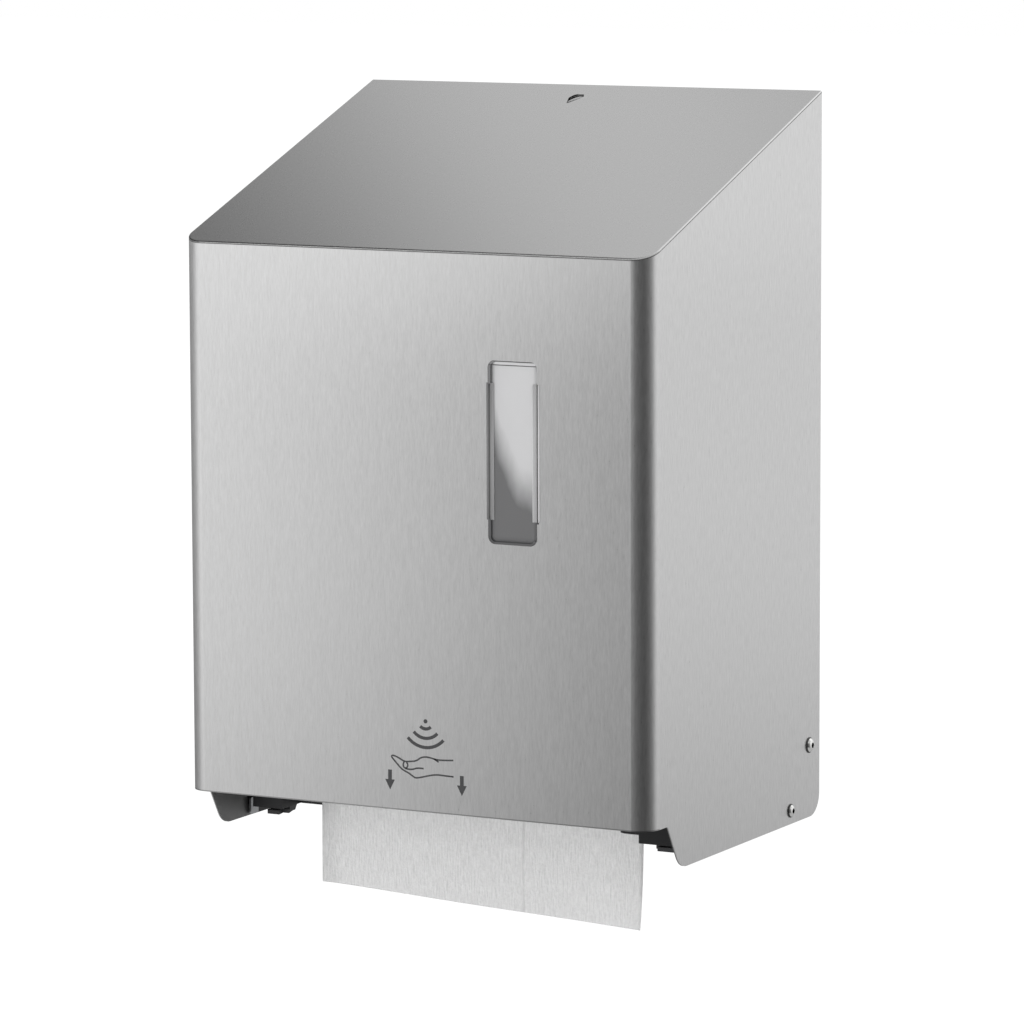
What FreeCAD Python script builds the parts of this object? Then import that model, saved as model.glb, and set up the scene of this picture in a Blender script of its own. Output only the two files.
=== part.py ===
import FreeCAD, Part
import math
import os
import re
import Sketcher
from FreeCAD import Placement, Rotation, Vector

# Automatic roll towel dispenser for wall mounting.
# The wall is the plane Y = 0, the user stands on the -Y side, and +Z is up.
# The origin is the middle of the wall-screw pattern. All sizes are millimetres.

doc = FreeCAD.newDocument("roll_towel_dispenser")
sizes = doc.addObject("Spreadsheet::Sheet", "sizes")

DRIVING = [
    # Cover of folded sheet steel
    ("cover_width", 300.0), ("cover_depth", 226.0), ("front_height", 320.0),
    ("lid_rise", 81.0), ("front_low", -200.0), ("lobe_drop", 26.5),
    ("bend", 12.0), ("sheet", 1.2), ("lid_edge", 1.3),
    ("notch_back", 203.5), ("lobe_run", 15.9), ("lobe_tip", 14.0),
    ("rear_corner", 13.0), ("side_gap", 1.6),
    # Level window in the front
    ("window_x", 64.75), ("window_half", 14.95), ("window_low", -42.7),
    ("window_high", 59.9), ("window_corner", 3.5), ("rail_low", -30.8),
    ("rail_high", 47.6), ("rail_wide", 1.1), ("rail_lap", 2.6),
    # Key slot and lock
    ("key_x", -1.5), ("key_y", 20.0),
    ("keeper_low", 178.0), ("latch_y", 46.0), ("latch_z", 170.0),
    # Cover hinge
    ("pivot_y", 40.5), ("pivot_z", -218.4), ("guide_reach", 43.5), ("guide_angle", 53.5),
    ("pivot_pin", 2.5), ("guide_pin", 3.0), ("open_angle", 85.0),
    ("bracket_in", 146.0),
    # Back plate and wall screws
    ("plate", 1.5), ("plate_half", 145.0), ("plate_low", -222.0), ("plate_high", 194.0),
    ("wall_x", 200.0), ("wall_z", 250.0), ("wall_hole", 3.25),
    # Paper
    ("roll_y", 116.0), ("roll_z", 57.0), ("roll_radius", 90.0), ("roll_half", 105.0),
    ("core_radius", 20.5), ("core_bore", 19.0), ("paper", 0.6), ("tail_y", 148.0),
    ("tail_left", -264.0), ("tail_right", -274.0),
    # Roll holder
    ("arm_in", 121.0), ("arm_sheet", 2.0), ("hub_bore", 4.05), ("hub_pin", 4.0),
    ("hub_depth", 10.0),
    # Feed works
    ("nip_z", -165.0), ("feed_radius", 13.0), ("pinch_radius", 8.0), ("nip_gap", 0.3),
    ("left_in", 120.0), ("right_in", 114.0), ("cheek_wall", 4.0), ("works_low", -218.8),
    ("works_front", 168.0), ("wing_out", 140.0), ("switch_z", -168.0), ("switch_x", 132.0),
    ("rail_front", 158.0), ("rail_base", -224.6), ("gear_wide", 8.0), ("running", 0.05),
    # Battery box for four D cells
    ("cell_radius", 16.7), ("cell_long", 60.5), ("box_half", 68.0), ("box_low", -114.0),
    ("box_high", -74.0), ("box_front", 78.0), ("box_wall", 2.5),
]

for row, (alias, value) in enumerate(DRIVING, start=1):
    sizes.set("A%d" % row, alias)
    sizes.set("B%d" % row, repr(value))
    sizes.setAlias("B%d" % row, alias)
doc.recompute()

SIZE = dict(DRIVING)
WORD = re.compile(r"[a-z_]+")
PLANES = {"X": ("YZ_Plane", 1), "Y": ("XZ_Plane", -1), "Z": ("XY_Plane", 1)}
parts = []


def size(expression):
    """The value of a sum of driving dimensions, in millimetres."""
    if isinstance(expression, (int, float)):
        return float(expression)
    return float(sizes.evalExpression(bound(expression)))


def bound(expression):
    """The sum as the spreadsheet's own names write it."""
    return WORD.sub(
        lambda word: "sizes." + word.group(0) if word.group(0) in SIZE else word.group(0),
        str(expression),
    )


def drive(thing, prop, expression):
    """Bind one property to the spreadsheet, or set it where it is a plain number."""
    if isinstance(expression, str) and WORD.search(expression):
        thing.setExpression(prop, bound(expression))
    else:
        thing.setExpression(prop, str(float(size(expression))))


def new_body(name, kept=True):
    """A new piece. One that isn't kept is only the pattern that a group repeats."""
    body = doc.addObject("PartDesign::Body", name)
    body.Label = name
    if kept:
        parts.append(body)
    return body


def group(name, pattern, spots):
    """One node of like pieces: copies of a pattern at (x, y, z) or (x, y, z, turn about Z)."""
    copies = []
    for spot in spots:
        x, y, z, angle = tuple(spot) + (0,) * (4 - len(spot))
        copy = doc.addObject("App::Link", name + "_copy")
        copy.LinkedObject = pattern
        copy.Placement = Placement(Vector(), Rotation(Vector(0, 0, 1), angle))
        for letter, expression in (("x", x), ("y", y), ("z", z)):
            drive(copy, "Placement.Base." + letter, expression)
        copies.append(copy)
    whole = doc.addObject("Part::Compound", name)
    whole.Label = name
    whole.Links = copies
    parts.append(whole)
    return whole


def place(body, x="0", y="0", z="0"):
    for letter, expression in (("x", x), ("y", y), ("z", z)):
        drive(body, "Placement.Base." + letter, expression)
    return body


class Drawing:
    """A sketch on one of a body's own planes, moved along the plane's normal."""

    def __init__(self, body, axis, offset):
        role, self.sign = PLANES[axis]
        self.sketch = body.newObject("Sketcher::SketchObject", body.Name + "_sketch")
        plane = next(f for f in body.Origin.OriginFeatures if f.Role == role)
        self.sketch.AttachmentSupport = [(plane, "")]
        self.sketch.MapMode = "FlatFace"
        drive(self.sketch, "AttachmentOffset.Base.z", offset)
        self.bindings = []

    def rule(self, kind, *args, expression=None):
        """Add a constraint, and bind its value where it has one."""
        value = [] if expression is None else [size(expression)]
        index = self.sketch.addConstraint(Sketcher.Constraint(kind, *args, *value))
        if isinstance(expression, str) and WORD.search(expression):
            self.sketch.setExpression("Constraints[%d]" % index, bound(expression))
        return index

    def fix(self, geometry, point, x, y):
        self.rule("DistanceX", -1, 1, geometry, point, expression=x)
        self.rule("DistanceY", -1, 1, geometry, point, expression=y)

    def outline(self, corners, rounded=True):
        """A closed outline. A corner is (x, y), or (x, y, size) where it is rounded or cut off."""
        corners = [tuple(corner) + ("0",) * (3 - len(corner)) for corner in corners]
        spots = [Vector(size(x), size(y), 0) for x, y, r in corners]
        radii = [size(r) for x, y, r in corners]
        count = len(corners)
        starts, ends = [], []
        for i in range(count):
            before = (spots[i - 1] - spots[i]).normalize()
            after = (spots[(i + 1) % count] - spots[i]).normalize()
            reach = radii[i]
            if reach and rounded:
                reach /= math.tan(before.getAngle(after) / 2)
            ends.append(spots[i] + before * reach)
            starts.append(spots[i] + after * reach)
        lines = [
            self.sketch.addGeometry(Part.LineSegment(starts[i], ends[(i + 1) % count]))
            for i in range(count)
        ]
        for i, (x, y, radius) in enumerate(corners):
            came, leaves = lines[i - 1], lines[i]
            if not radii[i]:
                self.rule("Coincident", came, 2, leaves, 1)
                self.fix(leaves, 1, x, y)
                continue
            point = self.sketch.addGeometry(Part.Point(spots[i]), True)
            self.fix(point, 1, x, y)
            self.rule("PointOnObject", point, 1, came)
            self.rule("PointOnObject", point, 1, leaves)
            if rounded:
                self.round_corner(came, leaves, spots[i], ends[i], starts[i], radius)
            else:
                self.cut_corner(came, leaves, point, ends[i], starts[i], radius)
        return self

    def round_corner(self, came, leaves, corner, end, start, radius):
        turns_left = (corner - end).cross(start - corner).z > 0
        first, last = (1, 2) if turns_left else (2, 1)
        rim = (end, start) if turns_left else (start, end)
        arc = self.sketch.addGeometry(self.corner_arc(corner, size(radius), *rim))
        self.rule("Tangent", came, 2, arc, first)
        self.rule("Tangent", arc, last, leaves, 1)
        self.rule("Radius", arc, expression=radius)

    def cut_corner(self, came, leaves, point, end, start, setback):
        edge = self.sketch.addGeometry(Part.LineSegment(end, start))
        self.rule("Coincident", came, 2, edge, 1)
        self.rule("Coincident", edge, 2, leaves, 1)
        self.rule("Distance", came, 2, point, 1, expression=setback)
        self.rule("Distance", leaves, 1, point, 1, expression=setback)

    @staticmethod
    def corner_arc(corner, radius, first, last):
        """The arc of a rounded corner, turning left from its first point of touch to its last."""
        inward = ((first + last) * 0.5 - corner).normalize()
        centre = corner + inward * math.hypot((first - corner).Length, radius)
        circle = Part.Circle(centre, Vector(0, 0, 1), radius)
        angles = [math.atan2(spot.y - centre.y, spot.x - centre.x) for spot in (first, last)]
        return Part.ArcOfCircle(circle, *angles)

    def circle(self, x, y, radius):
        middle = Vector(size(x), size(y), 0)
        ring = self.sketch.addGeometry(Part.Circle(middle, Vector(0, 0, 1), size(radius)))
        self.fix(ring, 3, x, y)
        self.rule("Radius", ring, expression=radius)
        return self

    def curved_slot(self, x, y, reach, half, start, end):
        """A slot of half-width half along the arc of radius reach, from start to end degrees."""
        middle = Vector(size(x), size(y), 0)
        reach_now, half_now = size(reach), size(half)
        low, high = math.radians(size(start)), math.radians(size(end))
        normal = Vector(0, 0, 1)

        def arc(centre, radius, a, b):
            return self.sketch.addGeometry(Part.ArcOfCircle(Part.Circle(centre, normal, radius), a, b))

        def spot(angle):
            return middle + Vector(math.cos(angle), math.sin(angle), 0) * reach_now

        outer = arc(middle, reach_now + half_now, low, high)
        inner = arc(middle, reach_now - half_now, low, high)
        cap = arc(spot(low), half_now, low + math.pi, low + 2 * math.pi)
        tail = arc(spot(high), half_now, high, high + math.pi)
        self.fix(outer, 3, x, y)
        self.rule("Coincident", outer, 3, inner, 3)
        self.rule("Radius", outer, expression="(%s) + (%s)" % (reach, half))
        self.rule("Radius", inner, expression="(%s) - (%s)" % (reach, half))
        self.rule("Tangent", cap, 1, inner, 1)
        self.rule("Tangent", cap, 2, outer, 1)
        self.rule("Tangent", tail, 1, outer, 2)
        self.rule("Tangent", tail, 2, inner, 2)
        self.rule("DistanceX", -1, 1, cap, 3, expression="(%s) + (%s) * cos((%s) * 1deg)" % (x, reach, start))
        self.rule("DistanceX", -1, 1, tail, 3, expression="(%s) + (%s) * cos((%s) * 1deg)" % (x, reach, end))
        return self


def spread(low, high):
    return "(%s) - (%s)" % (high, low)


def pad(body, axis, low, high, draw):
    """Add the drawn outline between two levels of an axis."""
    sign = PLANES[axis][1]
    drawing = draw(Drawing(body, axis, low if sign > 0 else "-(%s)" % high))
    feature = body.newObject("PartDesign::Pad", body.Name + "_pad")
    feature.Profile = drawing.sketch
    drive(feature, "Length", spread(low, high))
    drawing.sketch.Visibility = False
    return feature


def cut(body, axis, low, high, draw):
    """Take the drawn outline away between two levels of an axis."""
    sign = PLANES[axis][1]
    drawing = draw(Drawing(body, axis, high if sign > 0 else "-(%s)" % low))
    feature = body.newObject("PartDesign::Pocket", body.Name + "_cut")
    feature.Profile = drawing.sketch
    drive(feature, "Length", spread(low, high))
    drawing.sketch.Visibility = False
    return feature


def turn(body, profile):
    """Turn a profile of (x, radius) or (x, radius, chamfer) points about the X axis."""
    drawing = Drawing(body, "Z", 0).outline(profile, rounded=False)
    feature = body.newObject("PartDesign::Revolution", body.Name + "_turn")
    feature.Profile = drawing.sketch
    feature.ReferenceAxis = (drawing.sketch, ["H_Axis"])
    feature.Angle = 360
    return feature


def box_outline(low_x, low_y, high_x, high_y, radius="0"):
    """A rectangle by its two corners, as a function that draws it."""
    corners = [(low_x, low_y), (high_x, low_y), (high_x, high_y), (low_x, high_y)]
    return lambda drawing: drawing.outline([corner + (radius,) for corner in corners])


def round_outline(x, y, radius):
    return lambda drawing: drawing.circle(x, y, radius)


def shape_outline(corners):
    return lambda drawing: drawing.outline(corners)


def dress_edges(body, kind, prop, value, wanted):
    """Dress the edges of the body's last feature that the test picks out."""
    doc.recompute()
    base = body.Tip
    names = ["Edge%d" % n for n, edge in enumerate(base.Shape.Edges, start=1) if wanted(edge)]
    feature = body.newObject("PartDesign::" + kind, "%s_%s" % (body.Name, kind.lower()))
    feature.Base = (base, names)
    drive(feature, prop, value)
    return feature


def soften(body, radius, wanted):
    return dress_edges(body, "Fillet", "Radius", radius, wanted)


def bevel(body, width, wanted):
    return dress_edges(body, "Chamfer", "Size", width, wanted)


HALF = "cover_width / 2"
SLOPE = "lid_rise / cover_depth"
FRONT_TOP = "front_low + front_height"
LID_TOP = "front_low + front_height + lid_rise"
LOBE_LOW = "front_low - lobe_drop"
GUIDE_Y = "-pivot_y + guide_reach * cos(guide_angle * 1deg)"
GUIDE_Z = "pivot_z + guide_reach * sin(guide_angle * 1deg)"
FEED_Y = "-(tail_y - paper / 2 - nip_gap - feed_radius)"
PINCH_Y = "-(tail_y + paper / 2 + nip_gap + pinch_radius)"
CARRIER_Y = "-163"
CARRIER_Z = "-142"
GEAR_TEETH = {"feed_gear": 32, "idler_gear": 24, "motor_pinion": 12}
IDLER_Y = FEED_Y + " + 28 * cos(40 * 1deg)"
IDLER_Z = "nip_z + 28 * sin(40 * 1deg)"
MOTOR_Y = IDLER_Y + " + 18 * cos(20 * 1deg)"
MOTOR_Z = IDLER_Z + " + 18 * sin(20 * 1deg)"
GEAR_NEAR = "-left_in - 8"
DOOR_Y = "-box_front - 2.3"
DOOR_Z = "box_low + 2"
LEFT_OF_COVER = "-cover_width / 2 - 1"
RIGHT_OF_COVER = "cover_width / 2 + 1"


def build_cover():
    """The folded cover: front and sides from one sheet, and the sloping lid welded on."""
    wrap = new_body("cover_wrap")
    pad(wrap, "Z", LOBE_LOW, LID_TOP, shape_outline([
        ("-" + HALF, "0"),
        ("-" + HALF, "-cover_depth", "bend"),
        (HALF, "-cover_depth", "bend"),
        (HALF, "0"),
        (HALF + " - sheet", "0"),
        (HALF + " - sheet", "-cover_depth + sheet", "bend - sheet"),
        ("-" + HALF + " + sheet", "-cover_depth + sheet", "bend - sheet"),
        ("-" + HALF + " + sheet", "0"),
    ]))
    wide = (LEFT_OF_COVER, RIGHT_OF_COVER)
    cut(wrap, "X", *wide, above_lid("lid_edge"))
    # Lower edge: level under the front, then down a steep slope to the side lobe
    cut(wrap, "X", *wide, shape_outline([
        ("-cover_depth - 1", "front_low"),
        ("-notch_back", "front_low", "3"),
        ("-notch_back + lobe_run", LOBE_LOW, "lobe_tip"),
        ("0", LOBE_LOW, "rear_corner"),
        ("0", "front_low"),
        ("5", "front_low"),
        ("5", LOBE_LOW + " - 5"),
        ("-cover_depth - 1", LOBE_LOW + " - 5"),
    ]))
    through_front = ("-cover_depth - 1", "-cover_depth + sheet + 1")
    cut(wrap, "Y", *through_front, box_outline(
        "window_x - window_half", "window_low", "window_x + window_half", "window_high", "window_corner",
    ))
    cut(wrap, "Y", *through_front, box_outline(
        "window_x - window_half - rail_wide", "rail_low",
        "window_x + window_half + rail_wide", "rail_high", "0.5",
    ))
    cut(wrap, "X", *wide, round_outline("-pivot_y", "pivot_z", "pivot_pin + 0.1"))
    cut(wrap, "X", *wide, round_outline(GUIDE_Y, GUIDE_Z, "guide_pin + 0.1"))

    lid = new_body("cover_lid")
    pad(lid, "Z", FRONT_TOP + " - 10", LID_TOP + " + 2", shape_outline([
        ("-" + HALF, "0"),
        ("-" + HALF, "-cover_depth", "bend"),
        (HALF, "-cover_depth", "bend"),
        (HALF, "0"),
    ]))
    cut(lid, "X", *wide, above_lid("0"))
    cut(lid, "X", *wide, shape_outline([
        ("5", LID_TOP + " - lid_edge + 5 * " + SLOPE),
        ("-cover_depth - 5", FRONT_TOP + " - lid_edge - 5 * " + SLOPE),
        ("-cover_depth - 5", FRONT_TOP + " - 15"),
        ("5", FRONT_TOP + " - 15"),
    ]))
    # The rounded outer edge, all but along the wall
    rise = size(SLOPE)
    top = size(LID_TOP)
    soften(lid, "1.0", lambda edge: all(abs(v.Z - top - rise * v.Y) < 0.01 for v in edge.Vertexes)
           and min(v.Y for v in edge.Vertexes) < -1)
    cut(lid, "Y", "0", "5", box_outline(LEFT_OF_COVER, FRONT_TOP, RIGHT_OF_COVER, LID_TOP + " + 5"))
    # Rear lip, turned down in front of the back plate
    pad(lid, "X", "-" + HALF + " + 12", HALF + " - 12",
        box_outline("-3.4", "keeper_low + 9", "-2.2", LID_TOP + " - 1.4"))
    # Half-moon slot for the key
    cut(lid, "Z", FRONT_TOP, LID_TOP + " + 5", shape_outline([
        ("key_x + 4.4", "-key_y + 2.8", "1"), ("key_x + 3", "-key_y + 6.4", "1.2"),
        ("key_x - 2.6", "-key_y + 6.4", "3"), ("key_x - 4.7", "-key_y + 1.5", "4"),
        ("key_x - 1.9", "-key_y - 7.6", "0.8"),
    ]))

    keeper = new_body("lock_keeper")
    pad(keeper, "X", "-14", "14", shape_outline([
        ("-3.4", "keeper_low", "1.8"),
        ("-3.4", "keeper_low + 14"),
        ("-4.6", "keeper_low + 14"),
        ("-4.6", "keeper_low + sheet", "0.6"),
        ("-32", "keeper_low + sheet"),
        ("-32", "keeper_low"),
    ]))
    cut(keeper, "Z", "keeper_low - 1", "keeper_low + 3", box_outline("-8", "-22", "8", "-14.5", "1"))


def above_lid(drop):
    """All that lies higher than the lid's upper side, less a drop."""
    return shape_outline([
        ("5", LID_TOP + " - (%s) + 5 * " % drop + SLOPE),
        ("5", LID_TOP + " + 20"),
        ("-cover_depth - 5", LID_TOP + " + 20"),
        ("-cover_depth - 5", FRONT_TOP + " - (%s) - 5 * " % drop + SLOPE),
    ])


def build_window():
    """The clear level window and the frame that holds it from inside."""
    inside = "-cover_depth + sheet"
    lens = new_body("window_lens")
    pad(lens, "Y", "-cover_depth + 0.3", inside, box_outline(
        "window_x - window_half + 0.25", "window_low + 0.25",
        "window_x + window_half - 0.25", "window_high - 0.25", "window_corner - 0.25",
    ))
    front = -size("cover_depth - 0.3")
    bevel(lens, "0.5", lambda edge: all(abs(v.Y - front) < 0.01 for v in edge.Vertexes))
    pad(lens, "Y", inside, inside + " + 2", box_outline(
        "window_x - window_half + 0.25", "window_low - 4",
        "window_x + window_half - 0.25", "window_high + 4",
    ))

    frame = new_body("window_frame")
    pad(frame, "Y", inside + " + 2", inside + " + 3.8", box_outline(
        "window_x - 19", "window_low - 9", "window_x + 19", "window_high + 9", "4",
    ))
    cut(frame, "Y", inside + " + 1", inside + " + 5", box_outline(
        "window_x - 11.5", "window_low + 4", "window_x + 11.5", "window_high - 4", "2",
    ))
    for side in ("-", "+"):
        inner = "window_x %s (window_half + 0.1)" % side
        outer = "window_x %s (window_half + rail_wide - 0.1)" % side
        wide = "window_x %s 19" % side
        edges = (wide, inner) if side == "-" else (inner, wide)
        pad(frame, "Y", inside, inside + " + 2",
            box_outline(edges[0], "window_low - 5", edges[1], "window_high + 5"))
        edges = (outer, inner) if side == "-" else (inner, outer)
        pad(frame, "Y", "-cover_depth - 0.3", inside,
            box_outline(edges[0], "rail_low + 0.2", edges[1], "rail_high - 0.2"))
        # The rail laps over the window's edge
        lap = "window_x %s (window_half - rail_lap)" % side
        edges = (outer, lap) if side == "-" else (lap, outer)
        pad(frame, "Y", "-cover_depth - 0.3", "-cover_depth + 0.25",
            box_outline(edges[0], "rail_low + 0.2", edges[1], "rail_high - 0.2"))


def button_screw(name, pin, head, height, socket, length):
    """A domed screw with a hexagon socket. Its head sits on X = 0 and points to +X."""
    screw = new_body(name, kept=False)
    dome = [("%s * %s" % (height, up), "%s * %s" % (head, out))
            for up, out in ((0.15, 1.0), (0.5, 0.94), (0.8, 0.8), (0.96, 0.62), (1.0, 0.45))]
    turn(screw, [("-(%s)" % length, "0"), ("-(%s)" % length, pin), ("0", pin), ("0", head)]
         + dome + [(height, "0")])
    corners = [(socket * math.cos(math.radians(a)), socket * math.sin(math.radians(a)))
               for a in range(0, 360, 60)]
    cut(screw, "X", "(%s) - 1.4" % height, "(%s) + 1" % height,
        shape_outline([(round(a, 4), round(b, 4)) for a, b in corners]))
    return screw


def flat_head(name, radius, height):
    """The plain round head of a small fastener. It sits on Y = 0 and points to -Y."""
    head = new_body(name, kept=False)
    pad(head, "Y", "-(%s)" % height, "0", round_outline("0", "0", radius))
    return head


def build_hinge_screws():
    """The screws that carry the cover: one pair to swing on, one pair that runs in a slot."""
    pivot = button_screw("pivot_screw", "pivot_pin", "4.3", "2.5", 1.7, "7")
    group("pivot_screws", pivot, [
        (HALF, "-pivot_y", "pivot_z"), ("-" + HALF, "-pivot_y", "pivot_z", 180)])
    guide = button_screw("guide_screw", "guide_pin", "5.0", "3.0", 2.0, "7")
    group("guide_screws", guide, [(HALF, GUIDE_Y, GUIDE_Z), ("-" + HALF, GUIDE_Y, GUIDE_Z, 180)])
    washer = new_body("pivot_washer", kept=False)
    turn(washer, [("0", "pivot_pin + 0.1"), ("0", "6"), ("-side_gap + 0.1", "6"),
                  ("-side_gap + 0.1", "pivot_pin + 0.1")])
    group("pivot_washers", washer, [
        (HALF + " - sheet", "-pivot_y", "pivot_z"),
        ("-" + HALF + " + sheet", "-pivot_y", "pivot_z", 180)])


def build_back():
    """The back plate on the wall and the two hinge brackets riveted to it."""
    back = new_body("back_plate")
    pad(back, "Y", "-plate", "0", shape_outline([
        ("-plate_half", "plate_low", "4"),
        ("plate_half", "plate_low", "4"),
        ("plate_half", "plate_high - 14"),
        ("plate_half - 14", "plate_high"),
        ("-plate_half + 14", "plate_high"),
        ("-plate_half", "plate_high - 14"),
    ]))
    for low, high in (("-plate_half", "-plate_half + plate"), ("plate_half - plate", "plate_half")):
        pad(back, "X", low, high, shape_outline([
            ("-plate", "-155"), ("-plate", "plate_high - 14"), ("-13", "plate_high - 22", "4"),
            ("-13", "-147", "4"),
        ]))
    for x in ("-wall_x / 2", "wall_x / 2"):
        for z in ("-wall_z / 2", "wall_z / 2"):
            cut(back, "Y", "-plate - 1", "1", round_outline(x, z, "wall_hole"))
    # Two pressed ribs stiffen the plate behind the roll
    for x in ("-45", "45"):
        pad(back, "Y", "-plate - 2", "-plate", box_outline(x + " - 5", "-40", x + " + 5", "130", "4.5"))

    for name, side in (("hinge_bracket_left", "-"), ("hinge_bracket_right", "")):
        bracket = new_body(name)
        faces = ["%s(bracket_in)" % side, "%s(bracket_in + sheet)" % side]
        foot = ["%s(bracket_in)" % side, "%s(bracket_in - 18)" % side]
        if side:
            faces.reverse()
        else:
            foot.reverse()
        pad(bracket, "X", *faces, shape_outline([
            ("-plate", "-225.5"), ("-plate", "-163"), ("-68", "-163", "10"), ("-92", "-176", "10"),
            ("-100", "-220.5", "5"), ("-147", "-220.5", "3"), ("-149", "-215.5", "0.8"),
            ("-160", "-215.5", "0.8"), ("-160", "-225.5", "2"),
        ]))
        pad(bracket, "Y", "-plate - sheet", "-plate",
            box_outline(foot[0], "plate_low", foot[1], "-163"))
        cut(bracket, "X", LEFT_OF_COVER, RIGHT_OF_COVER,
            round_outline("-pivot_y", "pivot_z", "pivot_pin + running"))
        cut(bracket, "X", LEFT_OF_COVER, RIGHT_OF_COVER, lambda drawing: drawing.curved_slot(
            "-pivot_y", "pivot_z", "guide_reach", "guide_pin + 0.2",
            "guide_angle - 1.5", "guide_angle + open_angle + 1.5"))
    rivet = flat_head("bracket_rivet", "3.2", "1.2")
    group("bracket_rivets", rivet, [
        ("%s(bracket_in - 10)" % side, "-plate - sheet", z)
        for side in ("", "-") for z in ("-205", "-190", "-173")])


def build_lock():
    """The latch under the key slot, on its bracket, with its pin and spring."""
    bracket = new_body("latch_bracket")
    pad(bracket, "X", "-9.5", "9.5", shape_outline([
        ("-plate", "latch_z - 26"), ("-plate", "latch_z + 8"), ("-plate - sheet", "latch_z + 8"),
        ("-plate - sheet", "latch_z - 10.8", "0.8"), ("-latch_y - 8", "latch_z - 10.8"),
        ("-latch_y - 8", "latch_z - 12"), ("-plate - sheet - 3", "latch_z - 12", "2"),
        ("-plate - sheet", "latch_z - 26"),
    ]))
    for low, high in (("-9.5", "-8.3"), ("8.3", "9.5")):
        pad(bracket, "X", low, high, shape_outline([
            ("-latch_y - 8", "latch_z - 12"), ("-latch_y - 8", "latch_z + 5", "4"),
            ("-latch_y + 8", "latch_z + 5", "4"), ("-latch_y + 14", "latch_z - 12"),
        ]))
    cut(bracket, "X", "-20", "20", round_outline("-latch_y", "latch_z", "2"))

    latch = new_body("lock_latch")
    pad(latch, "X", "-6", "6", shape_outline([
        ("-latch_y - 4.5", "latch_z - 4.5", "4"), ("-latch_y + 8", "latch_z - 4.5", "3"),
        ("-latch_y + 12", "latch_z - 2", "3"), ("-11", "latch_z - 2", "1.5"), ("-11", "latch_z + 2", "1.5"),
        ("-14.8", "latch_z + 2", "0.5"), ("-15", "latch_z + 7.2", "1.2"),
        ("-19", "latch_z + 7.2", "1.2"), ("-19.4", "latch_z + 2", "1"),
        ("-latch_y + 12", "latch_z + 2", "3"), ("-latch_y + 8", "latch_z + 4.5", "3"),
        ("-latch_y - 4.5", "latch_z + 4.5", "4"),
    ]))
    cut(latch, "X", "-20", "20", round_outline("-latch_y", "latch_z", "2 + running"))

    # Folded leaf spring between the bracket and the latch's tail
    spring = place(new_body("latch_spring"), "0", "-latch_y + 26", "latch_z - 10.8")
    pad(spring, "X", "-4", "4", shape_outline([
        ("-15", "0"), ("0", "0", "1"), ("-13", "8.7"), ("-13.28", "8.28"), ("-1.65", "0.5", "0.5"),
        ("-15", "0.5"),
    ]))

    pin = place(new_body("latch_pin"), "0", "-latch_y", "latch_z")
    turn(pin, [("-11", "0"), ("-11", "3.2"), ("-9.6", "3.2"), ("-9.6", "2"), ("10.6", "2"), ("10.6", "0")])


def build_roll():
    """The paper roll on its core, and the two hubs that hold it."""
    paper = place(new_body("paper_roll"), "0", "-roll_y", "roll_z")
    turn(paper, [("-roll_half", "core_radius"), ("-roll_half", "roll_radius", "1"),
                 ("roll_half", "roll_radius", "1"), ("roll_half", "core_radius")])
    core = place(new_body("roll_core"), "0", "-roll_y", "roll_z")
    turn(core, [("-roll_half", "core_bore"), ("-roll_half", "core_radius"),
                ("roll_half", "core_radius"), ("roll_half", "core_bore")])

    face = "(roll_half + 0.4)"
    tip = "(roll_half - hub_depth)"
    left = place(new_body("roll_hub_left"), "0", "-roll_y", "roll_z")
    turn(left, [("-" + tip, "hub_bore"), ("-" + tip, "16.5", "1.5"), ("-" + face, "18.4"),
                ("-" + face, "32"), ("-%s - 2" % face, "32", "0.8"),
                ("-%s - 3.2" % face, "12"), ("-arm_in + 0.4", "9"), ("-arm_in + 0.4", "hub_bore")])
    right = place(new_body("roll_hub_right"), "0", "-roll_y", "roll_z")
    turn(right, [(tip, "hub_bore"), (tip, "16.5", "1.5"), (face, "18.4"), (face, "32"),
                 (face + " + 2", "32", "0.8"), (face + " + 3.2", "12"),
                 (face + " + 3.2", "8.6"), (tip + " + 4.5", "8.6"), (tip + " + 4.5", "hub_bore")])
    for hub in (left, right):
        lighten_hub(hub)


def lighten_hub(hub):
    """Six windows between the spokes of a hub's flange."""
    doc.recompute()
    side = -1 if hub.Name.endswith("left") else 1
    levels = sorted(["%d * (roll_half + 0.2)" % side, "%d * (roll_half + 6)" % side], key=size)
    window = cut(hub, "X", *levels, lambda drawing: drawing.curved_slot("0", "0", "25", "3.2", "14", "46"))
    pattern = hub.newObject("PartDesign::PolarPattern", hub.Name + "_windows")
    pattern.Originals = [window]
    pattern.Axis = (next(f for f in hub.Origin.OriginFeatures if f.Role == "X_Axis"), [""])
    pattern.Angle = 360
    pattern.Occurrences = 6
    hub.Tip = pattern


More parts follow.
